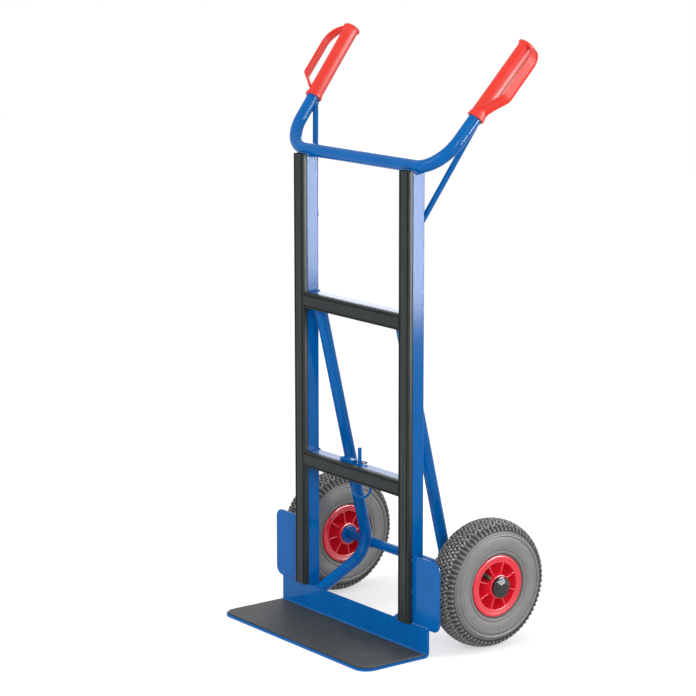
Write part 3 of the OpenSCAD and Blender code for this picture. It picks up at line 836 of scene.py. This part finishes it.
@dataclass
class Braces:
    """Bent tubes from the upper crossbar round the axle to the foot of the flange."""

    tube_d: float = 25.0
    tube_sides: int = 36
    bend: float = 61.0
    x: float = 133.5
    top_y: float = 23.0
    corner_y: float = 148.0
    corner_z: float = 113.0
    foot_z: float = 43.0
    end_bead: WeldBead = WeldBead(2.0)
    axle_bead: WeldBead = WeldBead(2.2)
    axle_bite: float = 1.0

    def build(self) -> None:
        """Makes both braces with the welds at their ends and at the axle."""
        axle, radius = box_of("axle"), self.tube_d / 2
        for side, sign in SIDES.items():
            x = sign * self.x
            top = Vector((x, self.top_y, UPPER.low.z))
            corner = Vector((x, self.corner_y, self.corner_z))
            foot = Vector((x, FLANGE_BACK, self.foot_z))
            path = rounded_path([top, corner, foot], self.bend, BEND_STEP)
            Mesh().sweep(path, circle(radius, self.tube_sides), X_AXIS,
                         planes=((top, Z_AXIS), (foot, Y_AXIS))).to_piece(
                f"{side}_brace_tube", POWDER_COAT, "frame", [f"{side}_brace"])
            for name, point, way, normal in (("top", top, corner - top, Z_AXIS),
                                             ("foot", foot, foot - corner, Y_AXIS)):
                ring = cut_ring(point, way.normalized(), radius, point, normal)
                self.end_bead.lay(f"{side}_brace_{name}_weld", ring, True)
            near = sign * (self.x - radius + self.axle_bite)
            ring = cut_ring(Vector((near, axle.middle.y, axle.middle.z)), X_AXIS,
                            axle.size.z / 2, X_AXIS * near, X_AXIS)
            self.axle_bead.lay(f"{side}_axle_weld", ring, True)


@dataclass
class FrameWelds:
    """Beads that join the crossbars, the guards and the flange to the uprights."""

    bar_bead: WeldBead = WeldBead(3.3)
    bar_front: float = 9.0
    bar_corner: float = 3.0
    foot_bead: WeldBead = WeldBead(2.1)
    foot_from: float = 1.0
    foot_to: float = 2.0
    tack_bead: WeldBead = WeldBead(1.6)
    tack: float = 9.0
    tack_below: float = 6.0

    def build(self) -> None:
        """Makes the beads on both sides."""
        for side, sign in SIDES.items():
            x = sign * UPRIGHT.low.x
            for name, bar in (("upper", UPPER), ("lower", LOWER)):
                low, high = bar.low.z, bar.high.z
                line = [Vector((x, self.bar_front, high)), Vector((x, TUBE_D, high)),
                        Vector((x, TUBE_D, low)), Vector((x, self.bar_front, low))]
                self.bar_bead.lay(f"{side}_{name}_crossbar_weld",
                                  rounded_path(line, self.bar_corner))
            self.build_guard_welds(side, sign)

    def build_guard_welds(self, side: str, sign: int) -> None:
        """Makes the bead under one guard and the tacks beside its upright.

        Args:
            side: name of the side.
            sign: which way the side lies along X.
        """
        guard = box_of(f"{side}_wheel_guard")
        edge, y = sign * UPRIGHT.high.x, guard.low.y
        self.foot_bead.lay(f"{side}_guard_foot_weld", [
            Vector((edge + sign * self.foot_from, y, FLANGE_H)),
            Vector((sign * (PLATE.high.x - self.foot_to), y, FLANGE_H))])
        for name, z in (("top", guard.high.z - self.tack_below), ("middle", guard.middle.z)):
            self.tack_bead.lay(f"{side}_guard_{name}_tack",
                               [Vector((edge, y, z)), Vector((edge, y, z - self.tack))])


# ---- Grips --------------------------------------------------------------------------------


@dataclass
class Grips:
    """Moulded grips with a knuckle guard that loops over the fingers.

    The guard's corners are given as (distance up the arm, outward, above the arm).
    """

    handle: Handle
    radius: float = 15.7
    collar_r: float = 17.9
    end_r: float = 18.4
    bore_r: float = 13.05
    roof: float = 4.6
    sides: int = 56
    band_t: float = 4.2
    band_w: float = 21.0
    band_lip: float = 1.4
    band_tilt: float = math.radians(17)
    band_top: Triple = (172.4, 8, 5.5)
    band_shoulder: Triple = (170.6, 51.5, 5.5)
    band_elbow: Triple = (54, 53.8, 6.0)
    band_foot: Triple = (15, 9, 4.0)
    shoulder_bend: float = 40.0
    shoulder_step: float = 6.0
    elbow_bend: float = 13.0
    elbow_step: float = 8.0
    band_gap: float = 6.0
    leans_below: float = 145.0
    slim: float = 0.8
    growth: float = 0.2
    foot_flare: float = 0.3
    flare_points: int = 6

    def sleeve(self) -> list[Pair]:
        """Draws the sleeve's profile.

        Returns:
            Its points: distance up the arm, and radius.
        """
        n, c, r, e = self.handle.grip_len, self.collar_r, self.radius, self.end_r
        bore = [(n - self.roof, 0), (n - self.roof, self.bore_r), (0.4, self.bore_r),
                (0, self.bore_r + 0.4)]
        collar = [(0, c - 1.2), (0.5, c - 0.3), (1.2, c), (3.6, c), (4.3, c - 0.5),
                  (4.8, c - 1.5), (6.0, c - 1.6), (6.6, c - 1.0), (8.4, c - 1.0), (9.2, c - 1.6)]
        palm = [(11.5, r), (n * 0.5, r - 0.25), (n - 8, r), (n - 6.2, r + 0.6)]
        end = [(n - 5.2, e - 0.6), (n - 4.4, e), (n - 1.4, e), (n - 0.4, e - 0.7),
               (n, e - 2.2), (n, 0)]
        return bore + collar + palm + end

    def band_section(self) -> list[Pair]:
        """Draws the section of the knuckle guard.

        Returns:
            The outline of a flat band with a raised lip at each edge.
        """
        w, t = self.band_w / 2, self.band_t / 2
        top = [(w - 0.3, t - 0.4), (w - 0.9, t + 0.5), (w - 2.5, t + 0.4),
               (w - 3.3, t - self.band_lip)]
        return mirrored(top) + [(-w, 0.2), (-w + 0.6, -t + 0.5), (-w + 1.8, -t),
                                (w - 1.8, -t), (w - 0.6, -t + 0.5), (w, 0.2)]

    def build(self) -> None:
        """Makes both grips."""
        handle = self.handle
        for side, sign in SIDES.items():
            way = handle.way(sign)
            rise = Vector((0, -math.sin(handle.tilt), math.cos(handle.tilt)))
            out = way.cross(rise) * sign
            out = out if out.x * sign > 0 else -out
            foot = handle.at(sign, handle.grip_at)
            turn = Matrix((way, out, rise)).transposed().to_4x4()
            grip = Mesh().lathe(self.sleeve(), self.sides)
            grip.moved(Matrix.Translation(foot) @ turn)
            corners = [foot + way * along + out * aside + rise * above for along, aside, above
                       in (self.band_top, self.band_shoulder, self.band_elbow, self.band_foot)]
            upper = rounded_path(corners[:3], self.shoulder_bend, self.shoulder_step)
            lower = rounded_path([upper[-2], *corners[2:]], self.elbow_bend, self.elbow_step)
            path = spread(upper[:-1] + lower[1:], self.band_gap)
            top_end = sum(1 for p in path if (p - foot).dot(way) > self.leans_below)

            def lean(i: int) -> float:
                """Roll of the band, which leans over by its full tilt below its upper bend."""
                return sign * self.band_tilt * min(1.0, i / top_end)

            def flare(i: int) -> float:
                """Finds the band's scale: slim at the top, and flared into the sleeve.

                Args:
                    i: number of the point.

                Returns:
                    The scale.
                """
                close = max(0.0, 1 - (len(path) - 1 - i) / self.flare_points)
                return (self.slim + self.growth * min(1.0, i / top_end)
                        + self.foot_flare * close ** 2)

            grip.sweep(path, self.band_section(), way, size=flare, roll=lean)
            grip.to_piece(f"{side}_grip_moulding", GRIP_PVC, "frame", [f"{side}_grip"])


# ---- Wheels -------------------------------------------------------------------------------


TYRE = box_of("right_tyre")
RIM = box_of("right_rim")


class Rubber(Enum):
    """Where each rubber stands in the tyre's list of materials."""

    GROOVE = 1
    LIT_TOP = 2


@dataclass
class Wheels:
    """Tyres with block tread, ribbed rims, valves and hub caps, about the X axis.

    Profiles are given as (distance along, radius): the tyre's side from its bead out to the
    tread, the valve's rubber stem and brass tip along the stem, and the cap's six-sided nose
    from where its skirt starts. A lug's stations are given as (distance aside, drop of its
    top, half its width).
    """

    radius: float = TYRE.size.z / 2
    tyre_side: tuple[Pair, ...] = (
        (30.6, 55.0), (30.8, 63.4), (32.4, 64.7), (35.0, 65.5), (36.7, 67.0), (37.4, 69.0),
        (37.2, 70.8), (35.9, 71.9), (37.2, 73.2), (38.2, 78.0), (38.7, 84.0), (38.8, 90.0),
        (38.3, 90.8), (38.3, 91.6), (38.8, 92.4), (38.4, 96.4), (36.9, 98.2), (36.6, 99.6),
        (38.2, 101.0), (38.8, 102.4), (38.4, 104.2), (37.4, 105.4), (36.4, 106.4),
        (35.2, 107.6), (34.0, 109.4))
    tyre_steps: int = 216
    crown: float = 56.0
    tread_depth: float = 5.0
    tread_half: float = 36.0
    shallower: float = 0.35
    tread_at: tuple[float, ...] = (31, 28, 24, 19, 14, 9.5, 4.5)
    groove_shade_half: float = 33.5
    groove_shade_from: float = 107.0
    knobs: int = 96
    knob_rows: tuple[float, ...] = (-22.2, -15.0, -7.6, 0.0, 7.6, 15.0, 22.2)
    knob_half_w: float = 2.8
    knob_half_l: float = 2.6
    knob_top: float = 0.8
    knob_root: float = 0.8
    skew: float = 0.55
    lugs: int = 72
    lug_starts: Pair = (28.0, 26.4)
    lug_start_half: float = 2.0
    lug_stations: tuple[Triple, ...] = ((31.0, 0.3, 2.2), (35.6, 0.2, 2.4))
    lug_top: float = 0.72
    lug_root: float = 1.0
    lug_drop: float = 0.4
    rim_half: float = 35.5
    rim_steps: int = 144
    barrel: float = 47.0
    web: float = 3.0
    hub_r: float = 24.0
    hub_bore: float = 14.6
    hub_steps: int = 96
    ribs: int = 8
    rib_t: float = 4.4
    rib_foot: float = 2.0
    rib_bite: float = 0.6
    turns: Pair = (8.0, 26.0)
    cap_r: float = 21.5
    cap_bore: float = 10.2
    cap_gap: float = 0.4
    cap_steps: int = 72
    cap_nose: tuple[Pair, ...] = ((5.6, 20.6), (6.4, 20.4), (12.2, 11.4))
    nose_turn: float = 77.0
    valve_rib: float = 2.5
    valve_lift: float = 3.0
    valve_foot: float = 17.0
    valve_stem: tuple[Pair, ...] = (
        (0, 0), (0, 6.0), (3, 6.0), (4, 5.8), (9, 5.4), (20, 5.0), (23.4, 4.8), (24.6, 4.2),
        (25, 3.0), (25, 0))
    stem_steps: int = 32
    valve_tip: tuple[Pair, ...] = (
        (24.8, 0), (24.8, 3.9), (25.4, 4.0), (30.2, 4.0), (31, 3.3), (31, 0))
    tip_steps: int = 24

    def top(self, aside: float) -> float:
        """Radius of the tread's crown at one distance from the middle plane."""
        return self.radius - self.crown + math.sqrt(self.crown ** 2 - aside ** 2)

    def floor(self, aside: float) -> float:
        """Radius of the grooves' floor at one distance from the middle plane."""
        share = 1 - self.shallower * (abs(aside) / self.tread_half) ** 2
        return self.top(aside) - self.tread_depth * share

    def knob(self, mesh: Mesh, aside: float, turn: float, skew: float) -> None:
        """Adds one tread block: a skewed, slightly tapered knob on the carcass.

        Args:
            mesh: the tyre.
            aside: distance of the block's middle from the tyre's middle plane.
            turn: angle of its middle about the axle.
            skew: slant of its sides.
        """
        low, high = [], []
        for u, v in ((-1, -1), (1, -1), (1, 1), (-1, 1)):
            for ring, grow in ((low, 1.0), (high, self.knob_top)):
                a = aside + u * self.knob_half_w * grow
                t = turn + (v * self.knob_half_l * grow + skew * u * self.knob_half_w) / self.radius
                r = self.floor(a) - self.knob_root if ring is low else self.top(a)
                ring.append(about_x(a, r, t))
        # The block's top face gets the pale rubber: a painted highlight
        mesh.skin([low, high]).material_index = Rubber.LIT_TOP.value

    def lug(self, mesh: Mesh, sign: int, turn: float, start: float) -> None:
        """Adds one shoulder lug, a bar that runs from the tread down to the ridge.

        Args:
            mesh: the tyre.
            sign: which way the shoulder lies along X.
            turn: angle of the lug about the axle.
            start: distance aside at which it starts.
        """
        rings = []
        for a, drop, half in ((start, 0.0, self.lug_start_half), *self.lug_stations):
            low = self.floor(a) - self.lug_root
            high = self.top(a) - self.lug_drop - drop
            corners = ((low, -half), (low, half), (high, half * self.lug_top),
                       (high, -half * self.lug_top))
            rings.append([about_x(sign * a, r, turn + v / self.radius) for r, v in corners])
        mesh.skin(rings)

    def tyre(self) -> Mesh:
        """Makes the carcass from bead to bead, its rows of knobs and its two rows of lugs.

        Returns:
            The tyre about the X axis.
        """
        half = [*self.tyre_side, *((a, self.floor(a)) for a in self.tread_at)]
        mesh = Mesh().lathe(mirrored(half, [(0, self.floor(0))]), self.tyre_steps)
        # The groove floors between the knobs get the darker rubber: painted shade
        for face in mesh.bm.faces:
            middle = face.calc_center_median()
            if abs(middle.x) < self.groove_shade_half and middle.yz.length > self.groove_shade_from:
                face.material_index = Rubber.GROOVE.value
        step = 2 * math.pi / self.knobs
        for row, aside in enumerate(self.knob_rows):
            for i in range(self.knobs):
                skew = self.skew if (i + row) % 2 else -self.skew
                self.knob(mesh, aside, (i + 0.5 * (row % 2)) * step, skew)
        for i in range(self.lugs):
            turn = 2 * math.pi * i / self.lugs
            for sign in (-1, 1):
                self.lug(mesh, sign, turn, self.lug_starts[i % 2])
        return mesh

    def rim(self, turn: float) -> Mesh:
        """Makes the barrel with its flanges, the web, the hub, and ribs on both faces.

        Args:
            turn: how far the ribs are turned, in degrees.

        Returns:
            The rim about the X axis.
        """
        f, b, hub, end = self.rim_half, self.barrel, self.hub_r, RIM.size.x / 2
        flange = [(30.9, 53.2), (30.9, 61.4), (31.6, 62.2), (33.0, 62.5), (34.2, 62.1),
                  (35.1, 61.0), (f + 0.1, 59.8), (f + 0.2, 58.4), (f - 0.3, 57.2),
                  (f - 0.3, 49.4), (f - 0.6, 48.2), (f - 1.6, b + 0.4), (f - 4, b)]
        nave = [(self.web, hub + 1.2), (end - 1.4, hub + 0.2), (end - 0.4, hub - 0.3),
                (end, hub - 1.4), (end, self.hub_bore + 0.8), (end - 0.8, self.hub_bore)]
        mesh = Mesh().lathe(mirrored(flange, [(0, b - 1)]), self.rim_steps)
        mesh.lathe(mirrored([(self.web, b + 1), (self.web, hub - 1)]), self.hub_steps)
        mesh.lathe(mirrored(nave), self.hub_steps)
        base, edge, rise = self.rib_t / 2, self.rib_t / 2 - 0.5, f - 1.0
        section = mirrored([(base, self.rib_foot), (edge, rise - 0.9), (edge - 0.8, rise)])
        for i in range(self.ribs):
            t = math.radians(90 - turn - i * 360 / self.ribs)
            out, along = about_x(0, 1, t), Vector((0, math.cos(t), -math.sin(t)))
            for sign in (-1, 1):
                mesh.skin([[out * r + along * u + X_AXIS * (sign * h) for u, h in section]
                           for r in (hub - self.rib_bite, b + self.rib_bite)])
        return mesh

    def cap(self) -> Mesh:
        """Makes the hub cap's round skirt and six-sided nose.

        Returns:
            The cap about the X axis.
        """
        start, r = RIM.size.x / 2 + self.cap_gap, self.cap_r
        skirt = [(start, self.cap_bore), (start, r - 0.5), (start + 0.5, r), (start + 4.6, r),
                 (start + 5.6, r - 0.5), (start + 6.2, r - 1.6), (start + 6.2, self.cap_bore)]
        mesh = Mesh().lathe(skirt, self.cap_steps)
        turns = [math.radians(self.nose_turn + 60 * i) for i in range(6)]
        mesh.skin([[Vector((start + a, nose * math.cos(t), nose * math.sin(t))) for t in turns]
                   for a, nose in self.cap_nose])
        return mesh

    def valve(self, turn: float) -> Matrix:
        """Finds where the valve is, between two ribs and through the barrel's wall.

        Args:
            turn: how far the ribs are turned, in degrees.

        Returns:
            The place whose X axis runs along the stem.
        """
        out = about_x(0, 1, math.radians(90 - turn - self.valve_rib * 360 / self.ribs))
        way = (X_AXIS - out).normalized()
        foot = out * (self.barrel + self.valve_lift) + X_AXIS * self.valve_foot
        aside = way.cross(X_AXIS).normalized()
        turned = Matrix((way, aside, way.cross(aside))).transposed().to_4x4()
        return Matrix.Translation(foot) @ turned

    def build(self) -> None:
        """Makes both wheels: the left one is mirrored, and each has its own turn of the ribs."""
        for (side, sign), turn in zip(SIDES.items(), self.turns):
            middle = box_of(f"{side}_tyre").middle
            place = Matrix.Translation(middle) @ Matrix.Scale(sign, 4, X_AXIS)
            body, valve = f"{side}_wheel", place @ self.valve(turn)
            tyre = self.tyre().moved(place).to_piece(f"{side}_tyre_tread", TYRE_RUBBER, body,
                                                     [f"{side}_tyre"], smooth=28)
            # Slots for the painted shade in the grooves and the painted highlight on the block tops
            for finish in (GROOVE_SHADE_RUBBER, PAINTED_HIGHLIGHT_RUBBER):
                tyre.data.materials.append(finish.build())
            self.rim(turn).moved(place).to_piece(f"{side}_rim_moulding", RIM_PP, body,
                                                 [f"{side}_rim"], bevel=0.5)
            self.cap().moved(place).to_piece(f"{side}_hub_cap_moulding", CAP_PLASTIC, "frame",
                                             [f"{side}_hub_cap"], bevel=0.7, smooth=15)
            Mesh().lathe(self.valve_stem, self.stem_steps).moved(valve).to_piece(
                f"{side}_valve_stem", VALVE_RUBBER, body, [f"{side}_valve"])
            Mesh().lathe(self.valve_tip, self.tip_steps).moved(valve).to_piece(
                f"{side}_valve_tip", VALVE_BRASS, body)


# ---- Ring rod -----------------------------------------------------------------------------


@dataclass
class ClipWire:
    """Spring clip through the ring rod: one leg through it and a loop back beside it.

    The loop's points are given as shares of the clip's reach.
    """

    wire: float = 2.1
    reach: float = 20.0
    leg: float = 8.0
    loop: tuple[Pair, ...] = ((1.0, 0.0), (0.2, 0.65), (-0.15, 0.31))
    turn: float = math.radians(30)
    bend: float = 2.6
    bend_step: float = 12.0
    sides: int = 12

    def build(self) -> None:
        """Makes the clip."""
        z, rod = box_of("spring_clip").middle.z, box_of("rod_bush").middle
        flat = [(-self.leg, 0)] + [(self.reach * x, self.reach * y) for x, y in self.loop]
        c, s = math.cos(self.turn), math.sin(self.turn)
        line = [Vector((rod.x + x * c - y * s, rod.y + x * s + y * c, z)) for x, y in flat]
        Mesh().sweep(rounded_path(line, self.bend, self.bend_step),
                     circle(self.wire / 2, self.sides), Z_AXIS).to_piece(
            "spring_clip_wire", SPRING, "ring_rod_set", ["spring_clip"])


# ---- Stage --------------------------------------------------------------------------------


@dataclass(frozen=True)
class Softbox:
    """A soft lamp: its place and aim in metres, the size of its face, and its watts."""

    name: str
    place: Triple
    aim: Triple
    size: Pair
    power: float
    gloss_only: bool = False

    def build(self) -> None:
        """Makes the lamp."""
        data = bpy.data.lights.new(self.name, "AREA")
        data.shape, data.energy = "RECTANGLE", self.power
        data.size, data.size_y = self.size
        item = add_object(self.name, data)
        item.location = self.place
        way = Vector(self.aim) - Vector(self.place)
        item.rotation_euler = way.to_track_quat("-Z", "Y").to_euler()
        item.visible_diffuse = not self.gloss_only


MIDDLE = (0.0, 0.0, 0.6)
# The cards only draw highlights along the tubes: they light nothing diffusely
LAMPS = (
    Softbox("front_softbox", (-1.0, -3.6, 2.2), MIDDLE, (1.8, 1.8), 50),
    Softbox("side_softbox", (4.2, -1.7, 2.1), MIDDLE, (1.8, 1.8), 84),
    Softbox("top_softbox", (0.3, 0.2, 3.4), MIDDLE, (2.4, 2.4), 4),
    Softbox("right_card", (1.75, 1.2, 0.86), (0.1, 0.0, 0.6), (1.0, 1.15), 125, True),
    Softbox("high_card", (1.38, 0.68, 1.67), (0.25, 0.09, 0.13), (0.7, 0.7), 14, True),
    Softbox("left_card", (-2.3, 1.9, 1.5), MIDDLE, (1.6, 1.0), 10, True),
)


@dataclass
class Stage:
    """Pale floor and backdrop, soft lamps and the camera, in metres."""

    lens: float = 132.86
    sensor: float = 36.0
    far: float = 100.0
    camera_at: Triple = (4.00796, -3.09006, 1.57977)
    azimuth: float = math.radians(52.9988)
    pitch: float = math.radians(11.2234)
    roll: float = math.radians(0.08)
    fill: float = 0.62
    floor_half: float = 9.0
    floor_z: float = -0.0004
    floor_glow: float = 0.5

    def camera(self) -> None:
        """Makes the camera."""
        data = bpy.data.cameras.new("camera")
        data.lens, data.sensor_width, data.clip_end = self.lens, self.sensor, self.far
        item = add_object("camera", data)
        a, e = self.azimuth, self.pitch
        back = Vector((math.sin(a) * math.cos(e), -math.cos(a) * math.cos(e), math.sin(e)))
        right = (-back).cross(Z_AXIS).normalized()
        up = right.cross(-back)
        tilt = Matrix.Rotation(self.roll, 3, -back)
        turned = Matrix((tilt @ right, tilt @ up, back)).transposed().to_4x4()
        item.matrix_world = Matrix.Translation(self.camera_at) @ turned
        bpy.context.scene.camera = item

    def sky(self) -> None:
        """Sets an even white surround: full white to the eye and to glossy surfaces."""
        world = bpy.data.worlds.new("studio")
        bpy.context.scene.world = world
        world.use_nodes = True
        tree = world.node_tree
        tree.nodes.clear()
        rays = add_node(tree, "ShaderNodeLightPath").outputs
        seen = rays["Is Camera Ray"]
        for kind in ("Is Glossy Ray", "Is Transmission Ray"):
            seen = add_node(tree, "ShaderNodeMath", {0: seen, 1: rays[kind]},
                            operation="MAXIMUM").outputs[0]
        strength = add_node(tree, "ShaderNodeMapRange", {"Value": seen,
                            "To Min": self.fill, "To Max": 1.0})
        light = add_node(tree, "ShaderNodeBackground", {"Color": (1.0, 1.0, 1.0, 1.0),
                         "Strength": strength.outputs["Result"]})
        add_node(tree, "ShaderNodeOutputWorld", {"Surface": light.outputs["Background"]})

    def floor_paint(self) -> bpy.types.Material:
        """Makes the floor's matt white paint, which glows to the eye and to glossy surfaces.

        Returns:
            The material.
        """
        paint = bpy.data.materials.new("matt_white_floor_paint")
        paint.use_nodes = True
        tree = paint.node_tree
        tree.nodes.clear()
        rays = add_node(tree, "ShaderNodeLightPath").outputs
        seen = add_node(tree, "ShaderNodeMath", {0: rays["Is Camera Ray"],
                        1: rays["Is Glossy Ray"]}, operation="MAXIMUM")
        plain = add_node(tree, "ShaderNodeBsdfDiffuse", {"Color": linear("#E6E7E9")})
        pale = add_node(tree, "ShaderNodeBsdfDiffuse", {"Color": linear("#E8E8E8")})
        glow = add_node(tree, "ShaderNodeEmission", {"Color": (1.0, 1.0, 1.0, 1.0),
                        "Strength": self.floor_glow})
        bright = add_node(tree, "ShaderNodeAddShader", {0: pale.outputs[0], 1: glow.outputs[0]})
        mixed = add_node(tree, "ShaderNodeMixShader", {0: seen.outputs[0], 1: plain.outputs[0],
                         2: bright.outputs[0]})
        add_node(tree, "ShaderNodeOutputMaterial", {"Surface": mixed.outputs[0]})
        return paint

    def floor(self) -> None:
        """Makes the floor: white to the eye where no shadow falls."""
        mesh, half = bmesh.new(), self.floor_half
        mesh.faces.new([mesh.verts.new((x, y, self.floor_z)) for x, y in
                        ((-half, -half), (half, -half), (half, half), (-half, half))])
        data = bpy.data.meshes.new("floor")
        mesh.to_mesh(data)
        mesh.free()
        item = add_object("floor", data)
        item.data.materials.append(self.floor_paint())

    def build(self) -> None:
        """Sets the whole stage."""
        bpy.context.scene.view_settings.view_transform = "Standard"
        self.camera()
        self.sky()
        self.floor()
        for lamp in LAMPS:
            lamp.build()


# ---- Whole truck --------------------------------------------------------------------------


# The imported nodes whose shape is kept, under the finish that each one gets
KEPT = {
    POWDER_COAT: ("left_upright", "right_upright", "upper_crossbar", "lower_crossbar", "axle",
                  "left_stop_collar", "right_stop_collar", "rod_bush", "rod_stop", "ring_rod"),
    ZINC: ("left_washer", "right_washer"),
    BUTYL: ("left_inner_tube", "right_inner_tube"),
    CAGE: ("left_bearing_cages", "right_bearing_cages"),
    BEARING: ("left_bearing_rollers", "right_bearing_rollers"),
}


def main() -> None:
    """Builds every piece of the truck and the stage."""
    logging.basicConfig(level=logging.INFO, format="%(message)s")
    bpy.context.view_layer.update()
    for finish, nodes in KEPT.items():
        for node in nodes:
            dress(node, finish)
    handle = Handle()
    parts = (LoadStrips(), ToePlate(), WheelGuards(), handle, Grips(handle), Braces(),
             FrameWelds(), Wheels(), ClipWire(), Stage())
    for part in parts:
        part.build()


if __name__ == "__main__":
    main()
